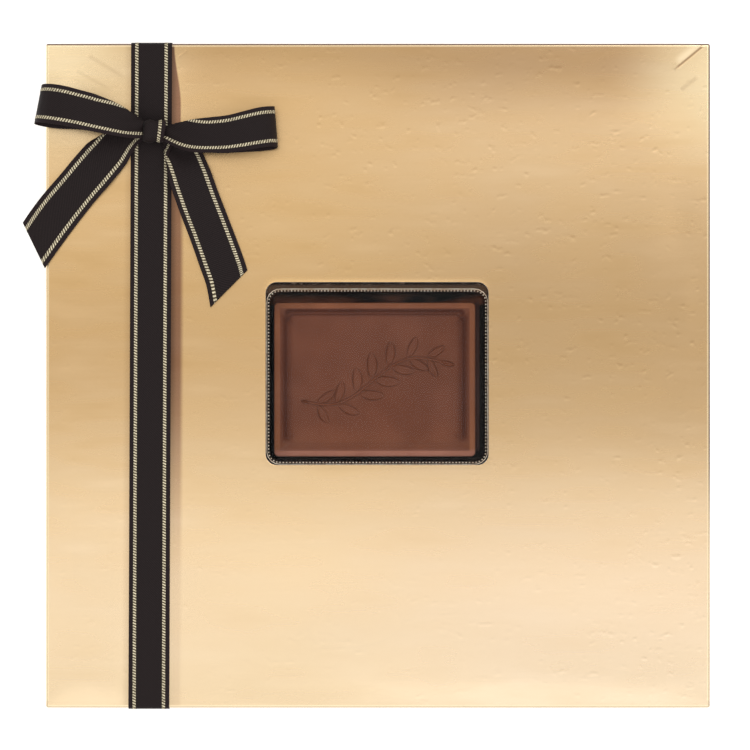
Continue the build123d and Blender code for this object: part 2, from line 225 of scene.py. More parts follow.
def between(tree, value, start, full, fading, gone):
    """1 inside a range of values, with a soft start and end."""
    return times(tree, remap(tree, value, start, full), fade(tree, value, fading, gone))


def axes(tree, vector):
    """The three numbers of a vector, one by one."""
    split = tree.nodes.new("ShaderNodeSeparateXYZ")
    tree.links.new(vector, split.inputs[0])
    return split.outputs["X"], split.outputs["Y"], split.outputs["Z"]


def noise(tree, vector, scale, stretch=(1, 1, 1), detail=3.0, rough=0.5, shift=(0, 0, 0)):
    """Noise with about scale waves to the metre, times the stretch along each axis."""
    mapping = tree.nodes.new("ShaderNodeMapping")
    mapping.inputs["Scale"].default_value = stretch
    mapping.inputs["Location"].default_value = shift
    tree.links.new(vector, mapping.inputs["Vector"])
    node = tree.nodes.new("ShaderNodeTexNoise")
    node.inputs["Scale"].default_value = scale
    node.inputs["Detail"].default_value = detail
    node.inputs["Roughness"].default_value = rough
    tree.links.new(mapping.outputs[0], node.inputs["Vector"])
    return node.outputs["Fac"]


# %% Colours and materials
def blend_colours(tree, share, first, second, how="MIX"):
    """Two colours, or outputs that carry them, mixed as far as the share says."""
    node = tree.nodes.new("ShaderNodeMix")
    node.data_type = "RGBA"
    node.blend_type = how
    for socket, value in ((node.inputs[0], share), (node.inputs[6], first), (node.inputs[7], second)):
        if isinstance(value, (int, float)):
            socket.default_value = value
        elif isinstance(value, tuple):
            socket.default_value = (*value, 1.0)
        else:
            tree.links.new(value, socket)
    return node.outputs[2]


def multiplied(tree, colour, factor):
    """A colour multiplied by another."""
    return blend_colours(tree, 1.0, colour, factor, "MULTIPLY")


def tinted(tree, share, colour, factor):
    """A colour multiplied by another, only as far as the share says."""
    return blend_colours(tree, share, colour, multiplied(tree, colour, factor))


def finish(name, roughness=0.5, metallic=0.0):
    """A material with one Principled shader; returns it, its tree, shader and coordinates."""
    material = bpy.data.materials.new(name)
    material.use_nodes = True
    tree = material.node_tree
    shader = tree.nodes["Principled BSDF"]
    shader.inputs["Roughness"].default_value = roughness
    shader.inputs["Metallic"].default_value = metallic
    return material, tree, shader, tree.nodes.new("ShaderNodeTexCoord")


def bump(tree, shader, height, strength, depth):
    """Let a height pattern tilt the shader's normal; depth is in metres."""
    node = tree.nodes.new("ShaderNodeBump")
    node.inputs["Strength"].default_value = strength
    node.inputs["Distance"].default_value = depth
    tree.links.new(height, node.inputs["Height"])
    tree.links.new(node.outputs["Normal"], shader.inputs["Normal"])


# %% [markdown]
# ### Foil grain
#
# Laminated foil is smooth but never still: it has broad soft streaks along its roller's
# way and very fine ones between them, a soft mottle, and short shallow dents where the
# board's surface shows through. Under soft light a dent is seen as a light dash beside
# a dark one. That light and shade is painted: the group takes the same noise a little
# above and a little below each place, and puts out the difference, which the foil adds
# to its colour as a painted highlight beside a painted shade.

# %% Foil grain group
FINE_SHARE, MOTTLE_SHARE = 0.18, 0.75
FINE_HEIGHT, DASH_HEIGHT = 0.015, 0.05
foil_grain, group_in, group_out = new_group(
    "foil_grain",
    [("Vector", "NodeSocketVector", None), ("Wrinkles", "NodeSocketFloat", 1.0),
     ("Streaks", "NodeSocketFloat", 1.0)],
    [("Shade", "NodeSocketFloat"), ("DentShading", "NodeSocketFloat"), ("Height", "NodeSocketFloat")],
)
vector = group_in.outputs["Vector"]
fine = noise(foil_grain, vector, 1.0, (18, 1100, 400), detail=4.0, rough=0.6)
broad = noise(foil_grain, vector, 1.0, (30, 130, 90), detail=1.5)
mottle = noise(foil_grain, vector, 1.0, (28, 60, 60), detail=4.0)
where = remap(foil_grain, noise(foil_grain, vector, 40.0, detail=2.0), 0.25, 0.60)


def dashes(shift):
    """Short dashes along the foil, shifted by so many waves from front to back."""
    pattern = noise(foil_grain, vector, 1.0, (270, 520, 300), detail=1.0, shift=(0, shift, 0))
    return remap(foil_grain, pattern, 0.60, 0.88)


def with_wrinkles(value):
    """Keep a pattern to the wrinkled places, as strong as the material asks."""
    return times(foil_grain, value, where, group_in.outputs["Wrinkles"])


foil_grain.links.new(with_wrinkles(minus(foil_grain, dashes(0.30), dashes(-0.30))), group_out.inputs["DentShading"])
fine_streaks = times(foil_grain, minus(foil_grain, fine, 0.5), FINE_SHARE)
streaks = plus(foil_grain, fine_streaks, minus(foil_grain, broad, 0.5))
streaks = times(foil_grain, streaks, group_in.outputs["Streaks"])
patches = times(foil_grain, minus(foil_grain, mottle, 0.5), MOTTLE_SHARE)
foil_grain.links.new(plus(foil_grain, streaks, patches, 0.5), group_out.inputs["Shade"])
relief = plus(foil_grain, times(foil_grain, fine, FINE_HEIGHT),
              times(foil_grain, with_wrinkles(dashes(0)), DASH_HEIGHT))
foil_grain.links.new(relief, group_out.inputs["Height"])
print("foil grain:", len(foil_grain.nodes), "nodes")

# %% [markdown]
# ### Gold foil
#
# The lid's panel isn't seen as one even tone: it runs from a deeper band in the middle
# to a pale, creamy one at the front, and its two back corners are pale. On the real
# foil most of that is the room it mirrors, which plain studio light doesn't have. So
# the tones are part of the foil's colour here, and stay with the board from any side:
# one colour ramp for the left half, one for the right, mixed from side to side. Each
# stop multiplies the foil's own colour.

# %% Panel tones
LEFT_TONES = [(0.0, (1.165, 1.255, 1.46)), (0.16, (1.38, 1.48, 1.77)), (0.31, (1.315, 1.335, 1.415)),
              (0.46, (0.98, 0.895, 0.79)), (0.61, (0.99, 0.89, 0.745)), (0.72, (1.10, 1.015, 0.885)),
              (0.92, (1.22, 1.13, 1.02)), (0.98, (0.89, 0.79, 0.67))]
RIGHT_TONES = [(0.0, (1.17, 1.30, 1.645)), (0.16, (1.33, 1.445, 1.87)), (0.31, (1.34, 1.39, 1.595)),
               (0.42, (0.92, 0.86, 0.795)), (0.60, (0.78, 0.70, 0.61)), (0.765, (1.09, 1.04, 1.015)),
               (0.89, (1.30, 1.26, 1.28)), (0.965, (0.80, 0.71, 0.66))]
TONE_SCALE = 0.52
PALE_CORNERS = ((-0.128, 0.128, 0.066), (0.134, 0.116, 0.046))
PALE_TONE = tuple(part * TONE_SCALE for part in (1.46, 1.63, 1.86))


def tone_ramp(tree, level, tones):
    """A colour ramp whose stops are multipliers, kept under 1 by one common scale."""
    ramp = tree.nodes.new("ShaderNodeValToRGB")
    ramp.color_ramp.interpolation = "B_SPLINE"
    stops = ramp.color_ramp.elements
    for number, (spot, tone) in enumerate(tones):
        stop = stops[number] if number < 2 else stops.new(spot)
        stop.position = spot
        stop.color = (*(part * TONE_SCALE for part in tone), 1)
    tree.links.new(level, ramp.inputs["Fac"])
    return ramp.outputs["Color"]


def near_corner(tree, x, y, corner_x, corner_y, reach):
    """1 at a corner of the panel, fading to 0 at some distance from it."""
    away_x, away_y = minus(tree, x, corner_x), minus(tree, y, corner_y)
    away = maths(tree, "SQRT", plus(tree, times(tree, away_x, away_x), times(tree, away_y, away_y)))
    return fade(tree, away, 0.0, reach)


def panel_tones(tree, x, y, here, colour):
    """Vary the foil from front to back, and pale its back corners."""
    wander = times(tree, minus(tree, noise(tree, here, 7.0, detail=2.0), 0.5), 0.10)
    level = plus(tree, maths(tree, "DIVIDE", y, 2 * LID_HALF), 0.5, wander)
    tones = blend_colours(tree, remap(tree, x, -0.045, 0.060), tone_ramp(tree, level, LEFT_TONES),
                          tone_ramp(tree, level, RIGHT_TONES))
    corners = [near_corner(tree, x, y, *corner) for corner in PALE_CORNERS]
    tones = blend_colours(tree, times(tree, maths(tree, "MAXIMUM", *corners), 0.9), tones, PALE_TONE)
    return multiplied(tree, colour, tones)


# %% [markdown]
# The foil has a few sharp creases, and it is darker close to the ribbon: the ribbon's
# shade and its dark reflection, painted into the foil's colour. A crease is a straight
# line drawn in the panel's own coordinates, and is used twice: to paint its shade into
# the colour and to lift the bump. Each row below is a crease's start and end, its width
# and its depth. A small flap of foil at the back right corner is drawn in the same way,
# but pale: a painted highlight where the bent flap catches the light.

# %% Creases, and the painted shade beside the ribbon
CREASES = [((0.1279, 0.1296), (0.1152, 0.1192), 0.00085, 1.15),
           ((-0.1144, 0.1262), (-0.0983, 0.1163), 0.0014, 0.22),
           ((-0.1190, 0.1200), (-0.1040, 0.1120), 0.0011, 0.15),
           ((-0.0783, 0.1247), (-0.0743, 0.1277), 0.0008, 0.2),
           ((0.1186, 0.1120), (0.1262, 0.1178), 0.0013, 0.32)]
FLAP_HIGHLIGHT = ((0.1263, 0.1304), (0.1163, 0.1221), 0.0027)


def crease(tree, x, y, start, end, width):
    """How close a place is to a short straight crease, from 0 to 1."""
    length = math.dist(start, end)
    run_x, run_y = (end[0] - start[0]) / length, (end[1] - start[1]) / length
    from_x, from_y = minus(tree, x, start[0]), minus(tree, y, start[1])
    along = plus(tree, times(tree, from_x, run_x), times(tree, from_y, run_y))
    aside = minus(tree, times(tree, from_y, run_x), times(tree, from_x, run_y))
    return times(tree, fade(tree, maths(tree, "ABSOLUTE", aside), 0.0, width),
                 between(tree, along, 0.0, length * 0.1, length * 0.75, length))


def painted_ribbon_shade(tree, x, y, colour):
    """Paint the ribbon's shade and dark reflection into the foil: a strip right of the band, and a little to
    its left.
    """
    right_edge, left_edge = (RIBBON_X + RIBBON_WIDTH / 2) * MM, -RIBBON_WIDTH * MM
    edge = minus(tree, minus(tree, x, times(tree, y, RIBBON_LEAN)), right_edge)
    past = minus(tree, edge, remap(tree, y, 0.106, 0.130, 0.0032, 0.0006))
    soft = times(tree, fade(tree, past, 0.0, 0.0022), fade(tree, y, 0.05, 0.10))
    crisp = times(tree, fade(tree, past, 0.0, 0.0007), remap(tree, y, 0.05, 0.10))
    cover = times(tree, plus(tree, soft, crisp), maths(tree, "GREATER_THAN", edge, -0.001),
                  remap(tree, y, -0.090, 0.012, 0.16, 1.0))
    depth = blend_colours(tree, remap(tree, edge, 0.0, 0.0028), (0.22, 0.17, 0.19), (0.42, 0.32, 0.36))
    colour = tinted(tree, cover, colour, depth)
    left = times(tree, remap(tree, edge, left_edge - 0.0032, left_edge - 0.0002),
                 maths(tree, "LESS_THAN", edge, left_edge + 0.0002), 0.30)
    return tinted(tree, left, colour, (0.5, 0.45, 0.42))


# %% [markdown]
# The fold round the panel catches the light in a thin pale line. Outside it, the wall
# turns away: dark at the back and the right, pale at the front. This light and shade is
# painted into the foil's colour. The lines are a fraction of a millimetre wide, and are
# placed by how far a place is from the lid's middle.

# %% Painted light and shade of the fold
FOLD_LEVEL = (0.0303, 0.0307)
PALE_LINE = (0.1288, 0.1292)
DARK_LINE = (0.1295, 0.1297)
FRONT_LINE = (-0.1296, -0.1288)


def painted_fold_light(tree, x, y, z, colour):
    """Painted light on the fold round the panel: a pale line, painted shade outside it at back and right, and
    a pale strip at the front.
    """
    over = remap(tree, z, *FOLD_LEVEL)
    far_out = maths(tree, "MAXIMUM", maths(tree, "ABSOLUTE", x), maths(tree, "ABSOLUTE", y))
    shine = times(tree, remap(tree, far_out, *PALE_LINE), over, remap(tree, y, -0.128, -0.127), 0.5)
    colour = blend_colours(tree, shine, colour, (1.0, 0.83, 0.54))
    right_side = times(tree, remap(tree, x, *DARK_LINE), remap(tree, y, -0.075, -0.025, 0.25, 1.0))
    dark_side = maths(tree, "MAXIMUM", right_side, remap(tree, y, *DARK_LINE))
    colour = blend_colours(tree, times(tree, dark_side, over, 0.95), colour, (0.13, 0.065, 0.045))
    front = times(tree, fade(tree, y, *FRONT_LINE), over, 0.95)
    return blend_colours(tree, front, colour, (0.72, 0.58, 0.39))


# %% [markdown]
# The foil is laminated to the outside of the board only. Inside, and on the cut edges,
# the board is plain pale card. Which side a place is on is read from its normal: on the
# outside it points away from the middle of the box.

# %% Outside and inside of the board
FOIL_DEEP, FOIL_PALE = (0.618, 0.435, 0.221), (0.709, 0.519, 0.290)
FOIL_METALLIC, CARD_ROUGHNESS = 0.86, 0.8


def outside_mask(tree, place, x, y, up):
    """1 where the normal points away from the middle, which is up on a lid and down on a base."""
    facing = tree.nodes.new("ShaderNodeVectorMath")
    facing.operation = "DOT_PRODUCT"
    tree.links.new(place.outputs["Normal"], facing.inputs[0])
    outward = tree.nodes.new("ShaderNodeCombineXYZ")
    tree.links.new(x, outward.inputs["X"])
    tree.links.new(y, outward.inputs["Y"])
    outward.inputs["Z"].default_value = up
    tree.links.new(outward.outputs[0], facing.inputs[1])
    return remap(tree, facing.outputs["Value"], -0.002, 0.004)


# %% Gold foil
def gold_foil(name, with_panel):
    """Gold foil on card, for the lid with its panel or for the base."""
    material, tree, shader, place = finish(name, 0.30, FOIL_METALLIC)
    shader.inputs["Coat Roughness"].default_value = 0.20
    here = place.outputs["Object"]
    x, y, z = axes(tree, here)
    grain = use(tree, foil_grain, Vector=here, Wrinkles=0.2)
    shade, height = grain.outputs["Shade"], grain.outputs["Height"]
    if with_panel:
        toward_back_right = plus(tree, x, times(tree, y, 0.8))
        tree.links.new(remap(tree, toward_back_right, -0.08, 0.12, 0.25, 1.0), grain.inputs["Wrinkles"])
        toward_back = remap(tree, y, -0.095, -0.025, 0.6, 1.75)
        left_of_band = remap(tree, x, -0.088, -0.080, 1.35, 1.0)
        tree.links.new(times(tree, toward_back, left_of_band), grain.inputs["Streaks"])
    colour = blend_colours(tree, shade, FOIL_DEEP, FOIL_PALE)
    # Painted highlight and shade of the dents: lighter on one side of each, darker on the other.
    lit = plus(tree, times(tree, grain.outputs["DentShading"], 0.075), 0.5)
    colour = blend_colours(tree, remap(tree, lit, 0.36, 0.64), multiplied(tree, colour, (0.78, 0.74, 0.70)),
                           multiplied(tree, colour, (1.18, 1.20, 1.24)))
    if with_panel:
        bright = multiplied(tree, colour, (1 / TONE_SCALE,) * 3)
        on_panel = remap(tree, z, 0.0296, 0.0306)
        colour = blend_colours(tree, on_panel, colour, panel_tones(tree, x, y, here, bright))
        # A painted highlight where the bent flap at the back right corner catches the light.
        flap_highlight = crease(tree, x, y, *FLAP_HIGHLIGHT)
        colour = blend_colours(tree, times(tree, flap_highlight, 0.7), colour, (1.0, 0.80, 0.52))
        for start, end, width, depth in CREASES:
            line = crease(tree, x, y, start, end, width)
            # The crease's shade is painted into the colour; its bump is real relief.
            colour = blend_colours(tree, times(tree, line, depth * 0.75), colour, (0.30, 0.17, 0.08))
            height = plus(tree, height, times(tree, line, depth * 2))
        colour = painted_ribbon_shade(tree, x, y, colour)
        colour = painted_fold_light(tree, x, y, z, colour)
    outside = outside_mask(tree, place, x, y, 0.1 if with_panel else -0.1)
    fibres = noise(tree, here, 500.0, detail=4.0)
    card = blend_colours(tree, remap(tree, fibres, 0.3, 0.7), (0.80, 0.78, 0.73), (0.87, 0.85, 0.80))
    tree.links.new(blend_colours(tree, outside, card, colour), shader.inputs["Base Color"])
    tree.links.new(times(tree, outside, FOIL_METALLIC), shader.inputs["Metallic"])
    tree.links.new(times(tree, outside, 0.12), shader.inputs["Coat Weight"])
    smooth = remap(tree, shade, 0.2, 0.8, 0.29, 0.23)
    tree.links.new(plus(tree, times(tree, outside, minus(tree, smooth, CARD_ROUGHNESS)), CARD_ROUGHNESS),
                   shader.inputs["Roughness"])
    bump(tree, shader, height, 0.5, 0.00016)
    print(name, "has", len(tree.nodes), "nodes")
    return material


lid_foil = gold_foil("gold_foil_lid", True)
base_foil = gold_foil("gold_foil_base", False)

# %% [markdown]
# ### Twill and gold thread
#
# The ribbon is a fine black twill with two braided gold stripes. Each ribbon mesh
# carries a map whose first number runs across the ribbon and whose second runs along
# it, both in ribbon widths, so the weave turns with the ribbon.

# %% Twill group
twill, group_in, group_out = new_group(
    "twill_weave", [("Vector", "NodeSocketVector", None), ("Pitch", "NodeSocketFloat", 0.62)],
    [("Height", "NodeSocketFloat"), ("Shade", "NodeSocketFloat")],
)
u, v, _ = axes(twill, group_in.outputs["Vector"])
across, along = times(twill, u, RIBBON_WIDTH), times(twill, v, RIBBON_WIDTH)
slant = maths(twill, "DIVIDE", plus(twill, across, along), group_in.outputs["Pitch"])
rib = maths(twill, "SINE", times(twill, slant, 2 * math.pi))
cross = maths(twill, "SINE", times(twill, minus(twill, across, along), 21.0))
height = plus(twill, times(twill, rib, 0.5), times(twill, cross, 0.2))
specks = noise(twill, group_in.outputs["Vector"], 70.0, detail=2.0)
twill.links.new(height, group_out.inputs["Height"])
twill.links.new(plus(twill, times(twill, height, 0.3), specks), group_out.inputs["Shade"])
print("twill:", len(twill.nodes), "nodes")

# %% [markdown]
# Each gold stripe is a braid: its thread's slant is opposite on the two sides of the
# ribbon, and its tone runs from a painted shade between two turns to a bright thread,
# with painted glints here and there. The braid stands over the twill in the bump as well.

# %% Ribbon material
STRIPE_MIDDLE, SELVEDGE = 5.75, (6.6, 7.0)
THREAD_PITCH, THREAD_SLANT = 1.08, 0.42
ribbon_black, tree, shader, place = finish("ribbon_black_twill", 0.62)
weave_map = place.outputs["UV"]
weave = use(tree, twill, Vector=weave_map, Pitch=0.95)
u, v, _ = axes(tree, weave_map)
off_middle = minus(tree, u, 0.5)
from_middle = maths(tree, "ABSOLUTE", times(tree, off_middle, RIBBON_WIDTH))
in_stripe = minus(tree, from_middle, STRIPE_MIDDLE)
stripe = fade(tree, maths(tree, "ABSOLUTE", in_stripe), 0.56, 0.72)
lean = times(tree, in_stripe, maths(tree, "SIGN", off_middle), THREAD_SLANT)
turn = times(tree, plus(tree, times(tree, v, RIBBON_WIDTH), lean), 2 * math.pi / THREAD_PITCH)
thread = plus(tree, times(tree, maths(tree, "SINE", turn), 0.5), 0.5)
# Painted glints on the gold thread.
glint = remap(tree, noise(tree, weave_map, 34.0, detail=3.0), 0.35, 0.6, 0.35, 1.0)
gold_thread = blend_colours(tree, times(tree, remap(tree, thread, 0.25, 0.80), glint), (0.085, 0.062, 0.036),
                            (0.88, 0.79, 0.56))
black = blend_colours(tree, remap(tree, weave.outputs["Shade"], 0.2, 0.8), (0.0030, 0.0016, 0.0014),
                      (0.0215, 0.0130, 0.0130))
selvedge = times(tree, remap(tree, from_middle, *SELVEDGE), 0.7)
black = blend_colours(tree, selvedge, black, (0.0150, 0.0075, 0.0085))
tree.links.new(blend_colours(tree, stripe, black, gold_thread), shader.inputs["Base Color"])
tree.links.new(times(tree, stripe, 0.35), shader.inputs["Metallic"])
shader.inputs["Specular IOR Level"].default_value = 0.15
shader.inputs["Sheen Weight"].default_value = 0.03
shader.inputs["Sheen Roughness"].default_value = 0.4
relief = plus(tree, times(tree, weave.outputs["Height"], minus(tree, 1.0, stripe)),
              times(tree, thread, stripe, 2.5))
bump(tree, shader, relief, 0.6, 0.00008)
print("ribbon:", len(tree.nodes), "nodes")

# %% [markdown]
# ### Chocolate
#
# Moulded chocolate is satin, not glossy, and very slightly uneven, with a paler bloom
# here and there. One group makes the unevenness for every kind. The slab has a material
# of its own, because its border is shaded as well.

# %% Chocolate group and materials
cocoa, group_in, group_out = new_group(
    "cocoa_bloom", [("Vector", "NodeSocketVector", None)],
    [("Bloom", "NodeSocketFloat"), ("Height", "NodeSocketFloat")],
)
vector = group_in.outputs["Vector"]
clouds = noise(cocoa, vector, 70.0, detail=4.0)
pores = noise(cocoa, vector, 900.0, detail=2.0)
cocoa.links.new(clouds, group_out.inputs["Bloom"])
cocoa.links.new(plus(cocoa, times(cocoa, clouds, 0.8), times(cocoa, pores, 0.25)), group_out.inputs["Height"])


def chocolate(name, deep, pale, roughness, shine=0.24):
    """One kind of chocolate, from its deepest to its palest tone."""
    material, tree, shader, place = finish(name, roughness)
    uneven = use(tree, cocoa, Vector=place.outputs["Object"])
    bloom = remap(tree, uneven.outputs["Bloom"], 0.3, 0.7)
    tree.links.new(blend_colours(tree, bloom, deep, pale), shader.inputs["Base Color"])
    tree.links.new(remap(tree, uneven.outputs["Bloom"], 0.3, 0.7, roughness - 0.05, roughness + 0.06),
                   shader.inputs["Roughness"])
    shader.inputs["Specular IOR Level"].default_value = shine
    bump(tree, shader, uneven.outputs["Height"], 0.35, 0.0002)
    return material


milk = chocolate("chocolate_milk", (0.150, 0.050, 0.024), (0.178, 0.063, 0.032), 0.36)
slab_milk = chocolate("chocolate_milk_slab", (0.124, 0.0385, 0.0185), (0.150, 0.0480, 0.0240), 0.36, 0.15)
dark = chocolate("chocolate_dark", (0.050, 0.020, 0.013), (0.075, 0.030, 0.019), 0.36)
white = chocolate("chocolate_white", (0.78, 0.62, 0.40), (0.86, 0.72, 0.50), 0.42)
print("chocolate:", [material.name for material in (milk, slab_milk, dark, white)])

# %% [markdown]
# ### Tray
#
# The tray is near-black formed plastic, glossy in soft waves, with a few dusty specks,
# more of them on the rim at the back, where they are partly painted glints. Its gloss
# mirrors what is near: the slab shows as a brown reflection on the wall behind it, and
# thin strips of light lie along the pocket's right and front edges and on the rim at the
# back. These reflections are painted into the plastic's colour. Seen from above, each
# has its place on the tray, so each is a mask made from the tray's own coordinates, in
# metres.

# %% Tray plastic
tray_black, tree, shader, place = finish("tray_black_plastic", 0.16)
here = place.outputs["Object"]
x, y, z = axes(tree, here)
from_side, from_front = maths(tree, "ABSOLUTE", x), maths(tree, "ABSOLUTE", y)
flow = noise(tree, here, 45.0, detail=3.0)
plastic = blend_colours(tree, flow, (0.005, 0.003, 0.0025), (0.011, 0.007, 0.005))
specks = remap(tree, noise(tree, here, 420.0, (1, 2, 1), detail=4.0), 0.54, 0.70)
# Dust specks, denser on the back rim, where they are partly painted glints of light.
back_rim = times(tree, remap(tree, z, 0.0295, 0.0300), remap(tree, y, 0.030, 0.034))
plastic = blend_colours(tree, times(tree, specks, plus(tree, times(tree, back_rim, 0.5), 0.06)), plastic,
                        (0.22, 0.15, 0.11))
# Painted highlight along the back rim.
rim_shine = times(tree, back_rim, fade(tree, y, 0.0348, 0.0364))
plastic = blend_colours(tree, rim_shine, plastic, (0.072, 0.040, 0.022))
# Painted reflection of the slab on the wall behind it.
slab_reflection = remap(tree, noise(tree, here, 1.0, (26, 90, 60), detail=3.0), 0.40, 0.60)
behind_slab = times(tree, between(tree, y, 0.0275, 0.0285, 0.0295, 0.0330),
                    fade(tree, from_side, 0.0400, 0.0425), fade(tree, z, 0.0275, 0.0300))
plastic = blend_colours(tree, times(tree, slab_reflection, behind_slab, 0.9), plastic, (0.300, 0.092, 0.040))
# Painted reflections of light along the pocket's right and front edges.
right_edge_reflection = times(tree, between(tree, x, 0.0380, 0.0384, 0.0396, 0.0406),
                    fade(tree, from_front, 0.028, 0.031))
plastic = blend_colours(tree, right_edge_reflection, plastic, (0.135, 0.058, 0.045))
front_edge_reflection = times(tree, between(tree, y, -0.0346, -0.0343, -0.0328, -0.0322),
                    fade(tree, from_side, 0.039, 0.042))
plastic = blend_colours(tree, front_edge_reflection, plastic, (0.082, 0.060, 0.048))
tree.links.new(plastic, shader.inputs["Base Color"])
tree.links.new(remap(tree, flow, 0.3, 0.7, 0.12, 0.22), shader.inputs["Roughness"])
shader.inputs["Specular IOR Level"].default_value = 0.09
bump(tree, shader, flow, 0.25, 0.0006)
print("tray plastic:", len(tree.nodes), "nodes")

# %% [markdown]
# ### Nut, gold edge, film and glue
#
# Four small finishes. The nut's skin has fine veins that run up it, the gold edge is
# rubbed in places, the film is all but clear with a little haze, and hot glue is cloudy
# like candle wax.

# %% Nut and gold edge
nut, tree, shader, place = finish("hazelnut_skin", 0.55)
veins = noise(tree, place.outputs["Object"], 400.0, (1, 1, 0.3), detail=5.0)
tree.links.new(blend_colours(tree, remap(tree, veins, 0.3, 0.7), (0.42, 0.22, 0.09), (0.66, 0.42, 0.20)),
               shader.inputs["Base Color"])
bump(tree, shader, veins, 0.5, 0.0003)

gold_edge, tree, shader, place = finish("tray_gold_edge", 0.28, 1.0)
worn = noise(tree, place.outputs["Object"], 500.0, detail=3.0)
tree.links.new(blend_colours(tree, remap(tree, worn, 0.3, 0.7), (0.74, 0.56, 0.40), (1.0, 0.90, 0.74)),
               shader.inputs["Base Color"])

# %% Film and glue
clear, tree, shader, place = finish("clear_film", 0.06)
shader.inputs["Base Color"].default_value = (0.12, 0.12, 0.12, 1)
haze = noise(tree, place.outputs["Object"], 30.0, detail=2.0)
tree.links.new(remap(tree, haze, 0.3, 0.7, 0.012, 0.030), shader.inputs["Alpha"])
tree.links.new(remap(tree, haze, 0.3, 0.7, 0.05, 0.10), shader.inputs["Roughness"])

glue, tree, shader, place = finish("hot_glue", 0.35)
cloudy = noise(tree, place.outputs["Object"], 600.0, detail=2.0)
tree.links.new(blend_colours(tree, cloudy, (0.55, 0.50, 0.40), (0.75, 0.70, 0.58)),
               shader.inputs["Base Color"])
print("small finishes:", [material.name for material in (nut, gold_edge, clear, glue)])

# %% [markdown]
# ## Dressing the CAD pieces that stay
#
# The base, the tray, the film and the glue have the right shape already, so they keep
# their solids and only get their finishes.

# %% Dress the CAD nodes
DRESS = {"base_carton": base_foil, "candy_tray": tray_black, "window_film": clear, "bow_glue_dot": glue}
for node, material in DRESS.items():
    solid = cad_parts[node]
    solid.data.materials.clear()
    solid.data.materials.append(material)
print("dressed", len(DRESS), "CAD nodes")

# %% [markdown]
# ## The lid
#
# A real lid is one sheet of foil board, cut, folded down on four sides and glued at the
# corners. It could be a box with its bottom deleted, but the panel has to be able to
# bow and dent, so it starts as a fine grid. The grid's outline is extruded in three
# short steps round the fold and then straight down for the walls.

# %% Grid and walls
GRID_STEPS, WALL_STEPS = 124, 6
OUTER_RING = 0.3 * MM
NEAR = 1e-6


def widen(before, after):
    """Push the picked outline out from one half width to another."""
    grow = after / before
    bpy.ops.transform.resize(value=(grow, grow, 1), center_override=(0, 0, LID_TOP))


bpy.ops.object.select_all(action="DESELECT")
flat_half = LID_HALF - FOLD - OUTER_RING
bpy.ops.mesh.primitive_grid_add(x_subdivisions=GRID_STEPS, y_subdivisions=GRID_STEPS, size=flat_half * 2,
                                location=(0, 0, LID_TOP))
lid = bpy.context.object
open_mesh(lid)
pick("EDGE", lambda edge: edge.is_boundary)
bpy.ops.mesh.extrude_edges_move()
widen(flat_half, flat_half + OUTER_RING)
flat_half += OUTER_RING
reach, depth = 0.0, 0.0
for angle in (30, 60, 90):
    out = FOLD * math.sin(math.radians(angle))
    down = FOLD * (1 - math.cos(math.radians(angle)))
    bpy.ops.mesh.extrude_edges_move(TRANSFORM_OT_translate={"value": (0, 0, depth - down)})
    widen(flat_half + reach, flat_half + out)
    reach, depth = out, down
wall = LID_TOP - FOLD - LID_RIM
for _ in range(WALL_STEPS):
    bpy.ops.mesh.extrude_edges_move(TRANSFORM_OT_translate={"value": (0, 0, -wall / WALL_STEPS)})


def upright_corner(edge):
    """Whether an edge stands where two walls of the lid meet."""
    return abs(edge.verts[0].co.z - edge.verts[1].co.z) > NEAR and all(
        abs(abs(v.co.x) - abs(v.co.y)) < NEAR and abs(v.co.x) > flat_half - NEAR for v in edge.verts)


pick("EDGE", upright_corner)
bpy.ops.mesh.bevel(offset=FOLD * 0.8, segments=3, affect="EDGES")
close_mesh()
print("lid grid:", len(lid.data.polygons), "faces")

# %% [markdown]
# The window is die cut. A hole with square corners is opened in the grid first, then a
# rounded frame of clean faces is set into it: a plane with its corners bevelled, inset
# to the window's own outline. Joining the two and filling between their outlines keeps
# even faces round the cut, which a boolean would not. The hole reaches 6 mm past the
# window on each side, and the frame 2.4 mm.

# %% Window frame
HOLE_ROOM, FRAME_ROOM = 6 * MM, 2.4 * MM
open_mesh(lid)
pick("FACE", lambda face: face.normal.z > 0.9 and all(
    abs(face.calc_center_median()[axis] - WINDOW_PLACE[axis]) < WINDOW[axis] / 2 + HOLE_ROOM
    for axis in (0, 1)))
bpy.ops.mesh.delete(type="FACE")
close_mesh()

bpy.ops.object.select_all(action="DESELECT")
bpy.ops.mesh.primitive_plane_add(size=2 * MM, location=(*WINDOW_PLACE, LID_TOP))
ring = bpy.context.object
open_mesh(ring)
bpy.ops.mesh.select_all(action="SELECT")
bpy.ops.transform.resize(value=((WINDOW[0] / 2 + FRAME_ROOM) / MM, (WINDOW[1] / 2 + FRAME_ROOM) / MM, 1),
                         center_override=(*WINDOW_PLACE, LID_TOP))
bpy.ops.mesh.bevel(offset=WINDOW_CORNER + FRAME_ROOM, segments=10, affect="VERTICES")
bpy.ops.mesh.select_mode(type="FACE")
bpy.ops.mesh.select_all(action="SELECT")
bpy.ops.mesh.inset(thickness=FRAME_ROOM, use_even_offset=True)
bpy.ops.mesh.delete(type="FACE")
close_mesh()
print("window frame:", len(ring.data.polygons), "faces")

# %% [markdown]
# The frame becomes part of the lid, the gap between the two is filled, and the sheet is
# given the board's thickness inwards. The top edge of the cut is then rounded a little,
# as a die leaves it.

# %% Join, fill and thicken
bpy.ops.object.select_all(action="DESELECT")
ring.select_set(True)
lid.select_set(True)
bpy.context.view_layer.objects.active = lid
bpy.ops.object.transform_apply(location=True, rotation=True, scale=True)
bpy.ops.object.join()


